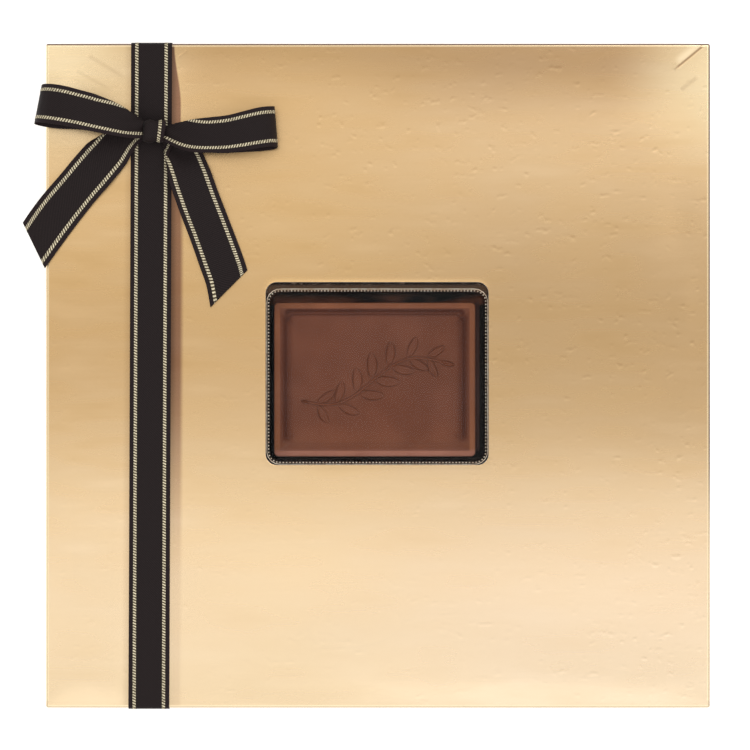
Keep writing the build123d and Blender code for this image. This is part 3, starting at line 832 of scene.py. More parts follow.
def window_distance(x, y):
    """How far a point of the panel is outside the window's outline."""
    over_x = abs(x - WINDOW_PLACE[0]) - (WINDOW[0] / 2 - WINDOW_CORNER)
    over_y = abs(y - WINDOW_PLACE[1]) - (WINDOW[1] / 2 - WINDOW_CORNER)
    return math.hypot(max(over_x, 0), max(over_y, 0)) + min(max(over_x, over_y), 0) - WINDOW_CORNER


open_mesh(lid)
pick("EDGE", lambda edge: edge.is_boundary and all(
    abs(v.co.z - LID_TOP) < NEAR and 1 * MM < window_distance(v.co.x, v.co.y) < 20 * MM for v in edge.verts))
bpy.ops.mesh.fill(use_beauty=True)
bpy.ops.mesh.select_all(action="SELECT")
bpy.ops.mesh.normals_make_consistent(inside=False)
close_mesh()
apply_modifier(lid, "SOLIDIFY", thickness=BOARD, offset=-1.0)
open_mesh(lid)
count = pick("EDGE", lambda edge: all(
    v.co.z > LID_TOP - NEAR and abs(window_distance(v.co.x, v.co.y)) < 0.05 * MM for v in edge.verts))
bpy.ops.mesh.bevel(offset=0.3 * MM, segments=3, affect="EDGES")
close_mesh()
print("window edge rounded on", count, "edges")

# %% [markdown]
# Board that has been pressed, filled and ribboned is never quite flat. The panel bows
# by a few tenths of a millimetre in long waves, has soft dents near its right edge, and
# is held down by the ribbon. All of it fades out at the folds and at the window, where
# the film is glued. Each dent below has its place, its reach along x and y, and its
# height, in millimetres.

# %% Bow and dent the panel
DENTS = [(118, 62, 7, 16, -0.30), (121, 22, 6, 18, 0.26), (113, -6, 8, 14, -0.22), (96, 96, 22, 9, 0.20),
         (-118, 112, 9, 6, 0.22), (-70, 116, 8, 7, 0.20), (30, 84, 40, 12, -0.16), (60, -70, 46, 26, 0.22),
         (-30, -92, 34, 22, -0.18), (86, 34, 18, 30, -0.20), (-112, 20, 9, 40, 0.12)]


def panel_rise(x, y):
    """Height of the panel over a flat one, in mm, at a place in mm."""
    inside = LID_HALF / MM - max(abs(x), abs(y))
    from_window = window_distance(x * MM, y * MM) / MM
    held = min(max((inside - 1.0) / 9.0, 0), 1) * min(max((from_window - 3) / 16, 0), 1)
    waves = (0.10 * math.sin(0.043 * y + 0.9) + 0.06 * math.sin(0.031 * x + 0.052 * y)
             + 0.03 * math.sin(0.12 * y + 0.02 * x + 2.0))
    dents = sum(deep * math.exp(-((x - cx) / wx) ** 2 - ((y - cy) / wy) ** 2)
                for cx, cy, wx, wy, deep in DENTS)
    off_band = abs(x - RIBBON_X - RIBBON_LEAN * y) - RIBBON_WIDTH / 2
    pressed = -0.16 * math.exp(-(max(off_band, 0) / 2.6) ** 2)
    return held * (waves + dents + pressed)


for corner in lid.data.vertices:
    x, y, z = corner.co
    if z > LID_TOP - FOLD and max(abs(x), abs(y)) < flat_half:
        corner.co.z += panel_rise(x / MM, y / MM) * MM
open_mesh(lid)
bpy.ops.mesh.select_all(action="SELECT")
bpy.ops.mesh.faces_shade_smooth()
close_mesh()
bpy.ops.object.shade_smooth_by_angle(angle=math.radians(40))
hand_over(lid, "foil_lid", "lid", "foil_board", lid_foil, "lid_carton")

# %% [markdown]
# ## Ribbon
#
# A ribbon is a strip of cloth of one width, so every ribbon piece is made the same way:
# a list of places along it gives its two edges, smooth lines are drawn through them,
# and rows of threads are laid from edge to edge. Where the two edges come closer than
# the ribbon is wide, the spare width rolls under itself, as it does near a knot.

# %% Smooth lines through a few places
def through(places, step):
    """Rows every step mm along a smooth line through the places."""
    rows = np.array(places, float)
    middles = (rows[:, 0:3] + rows[:, 3:6]) / 2
    length = np.concatenate([[0], np.cumsum(np.linalg.norm(np.diff(middles, axis=0), axis=1))])
    slopes = np.gradient(rows, length, axis=0)
    at = np.linspace(0, length[-1], int(length[-1] / step) + 2)
    near = np.clip(np.searchsorted(length, at, side="right") - 1, 0, len(length) - 2)
    span = (length[near + 1] - length[near])[:, None]
    t = ((at - length[near])[:, None]) / span
    return ((2 * t**3 - 3 * t**2 + 1) * rows[near] + (t**3 - 2 * t**2 + t) * span * slopes[near]
            + (3 * t**2 - 2 * t**3) * rows[near + 1] + (t**3 - t**2) * span * slopes[near + 1])


RIBBON_THICKNESS, STRIPE_RISE = 0.28 * MM, 0.09
THREADS = [0, 0.35, 0.95, 1.46, 1.56, 1.9, 2.25, 2.6, 2.94, 3.04, 3.9, 5.0, 6.5, 8.0]
THREADS += [RIBBON_WIDTH - place for place in reversed(THREADS[:-1])]


def tucked(across, spare, roll):
    """Place and drop of a thread, measured from the kept edge, where spare mm roll under."""
    if spare <= 0:
        return across, 0.0
    if spare < 0.57 * roll:
        turn = (6 * spare / roll) ** (1 / 3)
        start = RIBBON_WIDTH - roll * turn
    else:
        start = RIBBON_WIDTH - spare - roll
    if across <= start:
        return across, 0.0
    turned = (across - start) / roll
    if turned < math.pi:
        return start + roll * math.sin(turned), -roll * (1 - math.cos(turned))
    return max(start - (across - start - math.pi * roll), 0.4), -2 * roll


def weave_strip(name, places, tuck, step=0.9, roll=0.8, pleat=0.0, lift=0.0, hollow=(0, 1, 0)):
    """A ribbon: each place is its left and right edge points and how much rolls under."""
    rows = through(places, step)
    left, right, spare = rows[:, 0:3], rows[:, 3:6], rows[:, 6]
    middle = (left + right) / 2
    forward = np.gradient(middle, axis=0)
    forward /= np.linalg.norm(forward, axis=1)[:, None]
    side = right - left
    wide = np.linalg.norm(side, axis=1)
    side /= wide[:, None]
    up = np.cross(side, forward)
    up /= np.linalg.norm(up, axis=1)[:, None]
    run = np.concatenate([[0], np.cumsum(np.linalg.norm(np.diff(middle, axis=0), axis=1))])
    corners, flat_map = [], []
    for row in range(len(rows)):
        spare_here = max(spare[row], 0)
        scale = wide[row] / (RIBBON_WIDTH - spare_here)
        for place in THREADS:
            kept = RIBBON_WIDTH - place if tuck == "L" else place
            out, drop = tucked(kept, spare_here, roll)
            raised = STRIPE_RISE if 1.5 < place < 3 or 13 < place < 14.5 else 0.0
            fold = pleat * min(spare_here / 5, 1) * math.sin(place * 1.35 + run[row] * 0.05)
            dip = hollow[2] * math.exp(-((run[row] - hollow[0]) / hollow[1]) ** 2)
            arch = (lift - dip) * math.sin(math.pi * place / RIBBON_WIDTH) ** 2
            inward = side[row] * out * scale
            foot = right[row] - inward if tuck == "L" else left[row] + inward
            corners.append(tuple((foot + up[row] * (drop + raised + fold + arch)) * MM))
            flat_map.append((place / RIBBON_WIDTH, run[row] / RIBBON_WIDTH))
    across = len(THREADS)
    faces = [(r * across + c, (r + 1) * across + c, (r + 1) * across + c + 1, r * across + c + 1)
             for r in range(len(rows) - 1) for c in range(across - 1)]
    mesh = bpy.data.meshes.new(name)
    mesh.from_pydata(corners, [], [tuple(reversed(face)) for face in faces])
    layer = mesh.uv_layers.new(name="weave")
    for loop in mesh.loops:
        layer.data[loop.index].uv = flat_map[loop.vertex_index]
    mesh.polygons.foreach_set("use_smooth", [True] * len(mesh.polygons))
    strip = place_object(name, mesh)
    apply_modifier(strip, "SOLIDIFY", thickness=RIBBON_THICKNESS, offset=-1.0)
    print(name, "is", round(run[-1], 1), "mm long")
    return strip


# %% [markdown]
# ### Band
#
# The band comes up inside the lid, turns round the rim, climbs the wall, crosses the
# panel a little off square, and goes down and in again at the other side.

# %% Band
INNER, OUTER, LOW, HIGH = 129.2, 130.62, 7.36, 32.14


def band_place(y, z):
    """The band's two edges at a place along it; on top it lies on the bowed panel."""
    middle = RIBBON_X + RIBBON_LEAN * y
    height = z + (panel_rise(middle, y) if z > LID_TOP / MM + 0.25 else 0.0)
    return (middle - RIBBON_WIDTH / 2, y, height, middle + RIBBON_WIDTH / 2, y, height, 0)


half_path = [(INNER, 19.6), (INNER, 14.0), (INNER, 8.6), (INNER + 0.16, 7.7), (INNER + 0.7, LOW),
             (OUTER - 0.16, 7.7), (OUTER, 8.6), (OUTER, 14.0), (OUTER, 20.0), (OUTER, 26.0),
             (OUTER, 30.4), (OUTER - 0.3, 31.5), (OUTER - 1.0, 32.02), (OUTER - 2.4, HIGH)]
band_line = [(-y, z) for y, z in half_path]
band_line += [(y, HIGH) for y in np.linspace(-124, 124, 63)]
band_line += [(y, z) for y, z in reversed(half_path)]
band = weave_strip("ribbon_over_lid", [band_place(y, z) for y, z in band_line], "L")
hand_over(band, "ribbon_over_lid", "lid", "ribbon", ribbon_black, "ribbon_band")

# %% [markdown]
# ### Bow
#
# A ready-made bow: two loops, two loose ends and a short wrap over the middle. Each
# loop leaves the knot on top, rises, turns round at its far end and comes back below.
# The edge places are read off the real bow from straight above. What stands nearer the
# eye then looks further out than it is, so each place is drawn in by its height. The
# eye's distance over the panel, and the place right under it, are the camera's.

# %% Loops
DISTANCE = 1600.0
ABOVE = (-1.18, 0.31)


def seen_from_above(places):
    """Draw places in mm in towards the point under the eye, by how high they are."""
    drawn = []
    for place in places:
        moved = []
        for x, y, z in (place[0:3], place[3:6]):
            nearer = 1 - (z - LID_TOP / MM) / DISTANCE
            moved += [ABOVE[0] + (x - ABOVE[0]) * nearer, ABOVE[1] + (y - ABOVE[1]) * nearer, z]
        drawn.append((*moved, place[6]))
    return drawn


left_loop = weave_strip("bow_loop_left", seen_from_above([
    (-90.6, 93.1, 36.6, -90.6, 99.6, 36.6, 8.2), (-95.0, 93.0, 38.2, -94.6, 102.4, 38.4, 5.6),
    (-99.6, 93.5, 40.6, -98.8, 105.0, 40.2, 2.7), (-105.4, 94.5, 43.0, -104.2, 107.9, 42.2, 1.1),
    (-112.2, 95.9, 44.9, -110.4, 110.3, 43.6, 0), (-119.6, 97.5, 46.0, -117.6, 112.3, 44.4, 0),
    (-126.4, 98.6, 45.8, -124.0, 113.9, 44.2, 0), (-131.4, 99.3, 43.9, -128.9, 114.5, 42.6, 0),
    (-134.2, 99.4, 40.8, -131.5, 114.3, 40.3, 0), (-134.7, 98.7, 37.6, -131.8, 113.6, 38.0, 0),
    (-132.6, 98.0, 35.3, -130.0, 113.0, 36.2, 0), (-127.0, 97.1, 34.5, -125.0, 112.2, 35.2, 0),
    (-118.0, 96.6, 34.5, -116.6, 110.6, 35.0, 0), (-108.0, 95.6, 34.7, -107.0, 107.0, 35.0, 2.4),
    (-99.0, 94.4, 34.9, -98.6, 102.4, 35.0, 5.4), (-91.4, 94.0, 35.1, -91.4, 98.6, 35.1, 9.5)]),
    "R", roll=0.7, pleat=0.5)
hand_over(left_loop, "bow_loop_left", "lid", "ribbon", ribbon_black, "bow_left_loop")

right_loop = weave_strip("bow_loop_right", seen_from_above([
    (-85.0, 98.0, 36.6, -85.0, 92.6, 36.6, 9.0), (-80.6, 98.9, 38.3, -80.2, 90.0, 38.0, 6.2),
    (-76.4, 99.9, 40.2, -75.8, 88.3, 39.9, 3.4), (-71.6, 100.8, 42.2, -71.2, 87.6, 41.8, 1.2),
    (-65.8, 101.4, 43.8, -65.4, 87.5, 43.6, 0), (-59.0, 102.2, 45.0, -58.6, 87.7, 45.2, 0),
    (-52.6, 103.8, 45.4, -52.0, 88.5, 46.2, 0), (-46.4, 105.3, 44.2, -45.6, 89.5, 45.2, 0),
    (-42.2, 105.7, 41.8, -41.0, 90.0, 42.6, 0), (-40.5, 105.6, 38.8, -39.2, 89.7, 39.2, 0),
    (-41.4, 105.2, 35.9, -40.2, 88.9, 36.2, 0), (-45.6, 104.6, 34.7, -44.6, 88.2, 34.7, 0),
    (-53.0, 103.2, 34.5, -52.4, 87.7, 34.5, 0), (-62.0, 101.0, 34.6, -61.6, 87.3, 34.5, 0.6),
    (-71.0, 99.2, 34.8, -70.6, 88.3, 34.7, 3.2), (-78.4, 98.0, 35.0, -78.0, 90.6, 34.9, 6.6),
    (-84.4, 96.8, 35.1, -84.4, 93.0, 35.1, 10.5)]),
    "L", roll=0.7, pleat=0.5)
hand_over(right_loop, "bow_loop_right", "lid", "ribbon", ribbon_black, "bow_right_loop")

# %% [markdown]
# The loose ends come out from under the knot, widen to the ribbon's full width and fall
# to the lid, with their cut ends lying on it. The right one has a soft hollow where it
# leaves the knot.

# %% Loose ends
left_end = weave_strip("bow_end_left", seen_from_above([
    (-88.6, 93.8, 33.1, -88.8, 98.0, 33.1, 10.4), (-93.0, 91.6, 33.4, -95.6, 99.0, 33.3, 7.2),
    (-96.0, 88.0, 34.0, -104.8, 96.2, 33.7, 3.2), (-98.9, 82.8, 34.6, -112.6, 92.2, 34.3, 0.2),
    (-104.2, 76.2, 34.6, -117.4, 87.4, 34.8, 0), (-111.8, 67.4, 33.6, -124.6, 78.8, 34.0, 0),
    (-120.0, 56.8, 33.1, -132.0, 70.2, 33.3, 0), (-125.4, 49.4, 33.2, -136.2, 64.6, 33.6, 0),
    (-130.6, 42.1, 33.5, -139.3, 60.0, 33.9, 0)]),
    "R", roll=0.45, pleat=0.12, lift=0.25)
hand_over(left_end, "bow_end_left", "lid", "ribbon", ribbon_black, "bow_left_tail")

right_end = weave_strip("bow_end_right", seen_from_above([
    (-85.4, 97.6, 33.1, -88.4, 94.2, 33.1, 11.0), (-78.0, 94.6, 33.8, -85.4, 91.4, 33.6, 7.4),
    (-70.8, 90.0, 35.4, -83.8, 86.4, 34.6, 2.2), (-66.8, 83.0, 36.3, -82.2, 77.6, 35.2, 0),
    (-62.8, 72.4, 35.6, -78.7, 66.8, 34.6, 0), (-57.8, 59.6, 33.8, -73.6, 53.4, 33.7, 0),
    (-53.8, 49.2, 33.0, -69.6, 42.0, 33.1, 0), (-52.2, 44.6, 33.0, -67.2, 35.0, 33.1, 0),
    (-51.2, 41.4, 33.2, -65.7, 26.8, 33.3, 0)]),
    "R", roll=0.45, pleat=0.2, lift=0.25, hollow=(13, 7, 1.9))
hand_over(right_end, "bow_end_right", "lid", "ribbon", ribbon_black, "bow_right_tail")

# %% [markdown]
# The knot is one short turn of ribbon, gathered to about half its width, that wraps the
# middle of the bow and closes underneath.

# %% Knot
knot = weave_strip("bow_wrap", seen_from_above([
    (-90.9, 97.2, 32.9, -83.9, 97.2, 32.9, 7.2), (-91.2, 94.0, 32.8, -84.0, 94.0, 32.8, 7.2),
    (-91.7, 92.2, 33.5, -84.2, 92.2, 33.5, 7.2), (-92.2, 91.7, 35.4, -84.2, 91.7, 35.4, 7.1),
    (-92.3, 92.1, 37.6, -84.1, 92.1, 37.6, 7.0), (-92.3, 93.4, 38.9, -83.9, 93.4, 38.9, 7.0),
    (-92.2, 95.8, 39.3, -83.5, 95.8, 39.3, 7.0), (-92.1, 98.3, 38.9, -83.2, 98.3, 38.9, 7.0),
    (-91.9, 99.6, 37.5, -83.1, 99.6, 37.5, 7.1), (-91.6, 99.9, 35.2, -83.3, 99.9, 35.2, 7.2),
    (-91.2, 99.2, 33.5, -83.5, 99.2, 33.5, 7.2), (-90.9, 97.6, 32.9, -83.7, 97.6, 32.9, 7.2)]),
    "L", step=0.5, roll=0.45, pleat=0.3, lift=0.35)
hand_over(knot, "bow_wrap", "lid", "ribbon", ribbon_black, "bow_knot")

# %% [markdown]
# ## The slab
#
# A block of milk chocolate from a mould: its sides lean in, a flat border runs round a
# sloping step, and the middle is sunk. It starts as a cube with rounded corners. Each
# step of the border extrudes the top face, draws it in and lowers it. An inset would do
# the same on a square block, but it turns rounded corners inside out once it goes
# deeper than they are round.

# %% Slab
SLAB_MIDDLE = Vector((-1.3 * MM, -1.5 * MM, 16.1 * MM))
SLAB_SIZE = (79.6 * MM, 61.0 * MM, 9.0 * MM)
BORDER_STEPS = ((0.3, -0.1), (1.7, 0), (0.3, 0.12), (2.0, 1.55), (0.3, 0.05), (0.6, 0.45), (0.4, 0.10))
bpy.ops.object.select_all(action="DESELECT")
bpy.ops.mesh.primitive_cube_add(size=1, location=SLAB_MIDDLE + Vector((0, 0, SLAB_SIZE[2] / 2)),
                                scale=SLAB_SIZE)
slab = bpy.context.object
bpy.ops.object.transform_apply(location=True, rotation=True, scale=True)
open_mesh(slab)
pick("EDGE", lambda edge: abs(edge.verts[0].co.z - edge.verts[1].co.z) > 5 * MM)
bpy.ops.mesh.bevel(offset=1.7 * MM, segments=6, affect="EDGES")
pick("FACE", lambda face: face.normal.z > 0.9)
half = [SLAB_SIZE[0] / 2, SLAB_SIZE[1] / 2]


def draw_in(width):
    """Shrink the picked face by the same width on all sides."""
    smaller = [reach - width for reach in half]
    bpy.ops.transform.resize(value=(smaller[0] / half[0], smaller[1] / half[1], 1),
                             center_override=SLAB_MIDDLE)
    half[:] = smaller


draw_in(0.25 * MM)
for width, drop in BORDER_STEPS:
    bpy.ops.mesh.extrude_region_move(TRANSFORM_OT_translate={"value": (0, 0, -drop * MM)})
    draw_in(width * MM)
close_mesh()
apply_modifier(slab, "BEVEL", width=0.14 * MM, segments=2, limit_method="ANGLE", angle_limit=math.radians(16))
bpy.ops.object.shade_smooth_by_angle(angle=math.radians(50))
print("slab:", len(slab.data.polygons), "faces")

# %% [markdown]
# Down in its pocket the slab is lit from above only, so the slopes of its border lie in
# their own shade, while its flat border and its front catch the light. Soft studio light
# would even that out, so the slab's chocolate is shaded by how far a place is inside the
# slab's outline. The slopes at its two sides are broader than those at its back and front.

# %% Shade in the slab's border
def metres(*millimetres):
    """Lengths in millimetres, turned into metres."""
    return [length * MM for length in millimetres]


def shade_border(material):
    """Darken the slopes of the border, and lighten its flat part and the front."""
    tree = material.node_tree
    shader = tree.nodes["Principled BSDF"]
    plain = shader.inputs["Base Color"].links[0].from_socket
    here = tree.nodes["Texture Coordinate"].outputs["Object"]
    x, y, _ = axes(tree, here)
    off_x, off_y = minus(tree, x, SLAB_MIDDLE.x), minus(tree, y, SLAB_MIDDLE.y)
    from_side = minus(tree, SLAB_SIZE[0] / 2, maths(tree, "ABSOLUTE", off_x))
    from_end = minus(tree, SLAB_SIZE[1] / 2, maths(tree, "ABSOLUTE", off_y))
    inward = maths(tree, "MINIMUM", from_side, from_end)
    cut_corner = times(tree, minus(tree, plus(tree, from_side, from_end), 2.6 * MM), 0.5)
    inside = maths(tree, "MINIMUM", inward, cut_corner)
    side_slope = times(tree, between(tree, inside, *metres(2.2, 4.8, 5.4, 8.3)),
                       remap(tree, inside, *metres(5.1, 5.4), 1.0, 0.6))
    ridge = between(tree, inside, *metres(3.8, 4.2, 4.4, 4.7))
    end_slope = times(tree, between(tree, inside, *metres(2.3, 3.2, 4.3, 6.4)),
                      minus(tree, 1.0, times(tree, ridge, 0.6)),
                      remap(tree, inside, *metres(5.0, 5.3), 1.0, 0.6))
    beside = remap(tree, minus(tree, from_end, from_side), *metres(-0.4, 0.4))
    groove = plus(tree, times(tree, side_slope, beside), times(tree, end_slope, minus(tree, 1.0, beside)))
    groove = times(tree, groove, remap(tree, off_y, *metres(-26, -22)))
    uneven = remap(tree, noise(tree, here, 90.0), 0.3, 0.7, 0.7, 1.05)
    border = times(tree, fade(tree, inward, *metres(2.3, 2.6)), uneven)
    front_field = fade(tree, off_y, *metres(-27, -14))
    front_border = times(tree, fade(tree, from_end, *metres(1.6, 3.6)), fade(tree, off_y, *metres(-25, -24)))
    colour = plain
    for mask, tone in ((groove, (0.42, 0.30, 0.24)), (border, (1.55, 1.70, 1.52)),
                       (front_field, (1.15, 1.18, 1.12)), (front_border, (1.50, 1.75, 2.7))):
        colour = tinted(tree, mask, colour, tone)
    tree.links.new(colour, shader.inputs["Base Color"])
    print(material.name, "has", len(tree.nodes), "nodes")


shade_border(slab_milk)

# %% [markdown]
# The sunk field carries a small raised sprig: a curved stem with paired leaves and a
# few buds. The stem is a curve with a round section, made a mesh. One leaf is modelled
# from a ball, flattened, pointed at its ends and creased down the middle, then copied.

# %% Stem
FIELD = SLAB_MIDDLE.z + SLAB_SIZE[2] - sum(drop for _, drop in BORDER_STEPS) * MM
STEM = [(-26, -9), (-17, -11), (-7, -6), (0, 0.5), (8, 6.5), (17, 9.5), (26, 7)]


def stem_point(share):
    """A place on the stem, and the way it runs there, in mm about the slab's middle."""
    at = share * (len(STEM) - 1)
    base = min(int(at), len(STEM) - 2)
    a, b, t = STEM[base], STEM[base + 1], at - base
    return (a[0] + (b[0] - a[0]) * t, a[1] + (b[1] - a[1]) * t), math.atan2(b[1] - a[1], b[0] - a[0])


def drawn_line(name, kind, places, radius, resolution, closed=False):
    """A round line along a list of places, made a mesh."""
    line = bpy.data.curves.new(name, "CURVE")
    line.dimensions = "3D"
    line.bevel_depth = radius
    line.bevel_resolution = resolution
    line.use_fill_caps = not closed
    spline = line.splines.new(kind)
    spline.points.add(len(places) - 1)
    for point, place in zip(spline.points, places):
        point.co = (*place, 1)
    if kind == "NURBS":
        spline.order_u = 3
        spline.use_endpoint_u = True
    spline.use_cyclic_u = closed
    choose(place_object(name, line))
    bpy.ops.object.convert(target="MESH")
    return bpy.context.object


stem_places = [(SLAB_MIDDLE.x + x * MM, SLAB_MIDDLE.y + y * MM, FIELD) for x, y in STEM]
parts = [drawn_line("sprig_stem", "NURBS", stem_places, 0.55 * MM, 3)]

# %% Leaves
def leaf(x, y, heading, length, width):
    """One leaf of the sprig, laid on the field."""
    bpy.ops.object.select_all(action="DESELECT")
    bpy.ops.mesh.primitive_uv_sphere_add(segments=16, ring_count=10, radius=1)
    piece = bpy.context.object
    open_mesh(piece)
    bpy.ops.mesh.select_all(action="SELECT")
    bpy.ops.transform.rotate(value=math.pi / 2, orient_axis="Y", center_override=(0, 0, 0))
    close_mesh()
    for corner in piece.data.vertices:
        u, v, w = corner.co
        taper = max(1 - u * u, 0) ** 0.25
        vein = 0.40 * math.exp(-(v / 0.22) ** 2) * (w > 0)
        corner.co = (u * length / 2, v * width / 2 * taper + 0.10 * width * u * u, w * 1.05 - vein)
        corner.co *= MM
    piece.rotation_euler.z = heading
    piece.location = (SLAB_MIDDLE.x + x * MM, SLAB_MIDDLE.y + y * MM, FIELD)
    bpy.ops.object.transform_apply(location=True, rotation=True, scale=True)
    return piece


for share in (0.06, 0.2, 0.34, 0.48, 0.62, 0.76, 0.9):
    (x, y), heading = stem_point(share)
    size = 10.8 - abs(share - 0.45) * 6.0
    far = size * 0.56
    for side in (-1, 1):
        lean = heading + side * math.radians(48)
        parts.append(leaf(x + far * math.cos(lean), y + far * math.sin(lean), lean, size, size * 0.40))
for share, size in ((0.0, 2.6), (1.0, 4.6)):
    (x, y), heading = stem_point(share)
    back = heading + (math.pi if share == 0 else 0)
    far = size * 0.55
    parts.append(leaf(x + far * math.cos(back), y + far * math.sin(back), back, size * 1.4, size * 0.5))
print("sprig:", len(parts), "pieces")

# %% Join the sprig to the slab
bpy.ops.object.select_all(action="DESELECT")
for piece in parts:
    piece.select_set(True)
slab.select_set(True)
bpy.context.view_layer.objects.active = slab
bpy.ops.object.join()
bpy.ops.object.shade_smooth_by_angle(angle=math.radians(50))
hand_over(slab, "framed_slab", "tray", "milk_chocolate", slab_milk, "centre_bar")

# %% [markdown]
# ## The small chocolates
#
# Thirty-two chocolates of eight kinds lie in the troughs round the slab. Their solids are
# cut in flat facets. Chocolate from a polished mould has crisp forms with slightly
# rounded edges, so the square and ribbed kinds take their solid's own faces, welded into
# one skin, cleared of needless edges and bevelled.

# %% Soften the square kinds
def softened(node, name, slot, material, width):
    """A kind of chocolate with the solid's own form and rounded edges."""
    piece = place_object(name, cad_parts[node].data.copy())
    choose(piece)
    if piece.data.has_custom_normals:
        bpy.ops.mesh.customdata_custom_splitnormals_clear()
    open_mesh(piece)
    bpy.ops.mesh.select_all(action="SELECT")
    bpy.ops.mesh.remove_doubles(threshold=0.01 * MM)
    bpy.ops.mesh.dissolve_limited(angle_limit=math.radians(1))
    close_mesh()
    apply_modifier(piece, "BEVEL", width=width, segments=3, limit_method="ANGLE",
                   angle_limit=math.radians(20))
    bpy.ops.object.shade_smooth_by_angle(angle=math.radians(60))
    hand_over(piece, name, "tray", slot, material, node)


softened("bevelled_squares", "moulded_squares", "milk_chocolate", milk, 0.6 * MM)
softened("stepped_squares", "moulded_steps", "milk_chocolate", milk, 0.5 * MM)
softened("ribbed_logs", "moulded_logs", "dark_chocolate", dark, 0.5 * MM)
softened("octagon_creams", "moulded_octagons", "white_chocolate", white, 0.8 * MM)
softened("faceted_squares", "moulded_facets", "dark_chocolate", dark, 0.3 * MM)

# %% [markdown]
# The domes, nuts, cups and ovals are turned shapes. Each starts as half its outline, which
# is spun round the upright axis. The vertices of the turned form are then moved a little:
# outwards and inwards for the pleats of a cup or the twist of a truffle, and aside for an
# oval. One of each kind is made and laid in the four quarters of the tray, at the places
# that its solid has there.

# %% Turn an outline, and lay four of it
def turned(name, outline, steps=48):
    """Spin half an outline, given as (radius, height) in mm, into a closed form."""
    mesh = bpy.data.meshes.new(name)
    mesh.from_pydata([(radius * MM, 0, height * MM) for radius, height in outline],
                     [(spot, spot + 1) for spot in range(len(outline) - 1)], [])
    piece = place_object(name, mesh)
    open_mesh(piece)
    bpy.ops.mesh.select_all(action="SELECT")
    bpy.ops.mesh.spin(steps=steps, angle=2 * math.pi, center=(0, 0, 0), axis=(0, 0, 1))
    bpy.ops.mesh.select_all(action="SELECT")
    bpy.ops.mesh.remove_doubles(threshold=0.01 * MM)
    bpy.ops.mesh.normals_make_consistent(inside=False)
    close_mesh()
    return piece


def quarters(node):
    """The feet of a node's solids in the four quarters of the tray, and one's size in mm."""
    feet, sizes = [], []
    for side, end in ((1, 1), (1, -1), (-1, 1), (-1, -1)):
        near = np.array([corner.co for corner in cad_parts[node].data.vertices
                         if corner.co.x * side > 0 and corner.co.y * end > 0])
        low, high = near.min(axis=0), near.max(axis=0)
        feet.append(Vector(((low[0] + high[0]) / 2, (low[1] + high[1]) / 2, low[2])))
        sizes.append((high - low) / MM)
    return feet, sizes[0]


def repeat(piece, places):
    """Turn a piece into copies of itself, one at each place, in one mesh."""
    copies = bmesh.new()
    for place in places:
        start = len(copies.verts)
        copies.from_mesh(piece.data)
        copies.verts.ensure_lookup_table()
        for corner in copies.verts[start:]:
            corner.co += place
    laid = bpy.data.meshes.new(piece.name)
    copies.to_mesh(laid)
    copies.free()
    piece.data = laid


def round_outline(radius, height, foot=0.90, waist=0.28, fullness=0.9):
    """Half the outline of a dome that is widest a little over its foot."""
    outline = [(0, 0), (radius * foot * 0.96, 0), (radius * foot, height * 0.02)]
    for step in range(13):
        rise = math.radians(-40 + step * 10)
        level = waist + math.sin(rise) * (1 - waist if rise > 0 else waist / math.sin(math.radians(40)) * 0.9)
        outline.append((radius * math.cos(rise) ** (fullness if rise > 0 else 0.4), height * level))
    outline[-1] = (0, height)
    return outline


# %% [markdown]
# A truffle is a plain dome with a faint twist: a wave round it that leans with height.

# %% Truffles
feet, (wide, _, tall) = quarters("domed_truffles")
truffle = turned("swirled_truffles", round_outline(wide / 2 - 0.3, tall))
for corner in truffle.data.vertices:
    around, level = math.atan2(corner.co.y, corner.co.x), corner.co.z / MM / tall
    twist = 0.016 * math.sin(7 * around + 5.0 * level) * math.sin(math.pi * min(max(level, 0), 1))
    corner.co.x *= 1 + twist
    corner.co.y *= 1 + twist
repeat(truffle, feet)
bpy.ops.object.shade_smooth_by_angle(angle=math.radians(60))
hand_over(truffle, "swirled_truffles", "tray", "dark_chocolate", dark, "domed_truffles")

# %% [markdown]
# A cup is turned with its hollow, and only its outer parts are pleated, so that its
# filling stays round. Half a nut stands on the filling.

# %% Cups and nuts
PLEATS, PLEAT_DEPTH = 24, 0.035
feet, (wide, _, tall) = quarters("fluted_cups")
mouth = wide / 2
cup = turned("pleated_cups", [(0, 0), (mouth * 0.66, 0), (mouth * 0.69, 0.4), (mouth * 0.985, tall - 0.4),
                              (mouth * 0.97, tall), (mouth * 0.90, tall), (mouth * 0.885, tall - 0.4),
                              (mouth * 0.87, tall - 1.4), (mouth * 0.6, tall - 1.3), (0, tall - 1.1)],
             steps=96)
for corner in cup.data.vertices:
    away = math.hypot(corner.co.x, corner.co.y) / MM
    if away > 0.5 * mouth:
        pleat = 1 - PLEAT_DEPTH * (1 - math.cos(PLEATS * math.atan2(corner.co.y, corner.co.x)))
        corner.co.x *= pleat
        corner.co.y *= pleat
repeat(cup, feet)
bpy.ops.object.shade_smooth_by_angle(angle=math.radians(50))
hand_over(cup, "pleated_cups", "tray", "dark_chocolate", dark, "fluted_cups")

feet, (wide, _, tall) = quarters("hazelnuts")
kernel = turned("half_nuts", round_outline(wide / 2, tall, foot=0.92, waist=0.2, fullness=0.8), steps=24)
repeat(kernel, feet)
bpy.ops.object.shade_smooth_by_angle(angle=math.radians(60))
hand_over(kernel, "half_nuts", "tray", "nut", nut, "hazelnuts")

# %% [markdown]
# An oval is a round dome drawn out along one way. Its icing is one thin trail that runs
# to and fro over it, as it falls from a nozzle, so it is a curve laid on the oval's top.

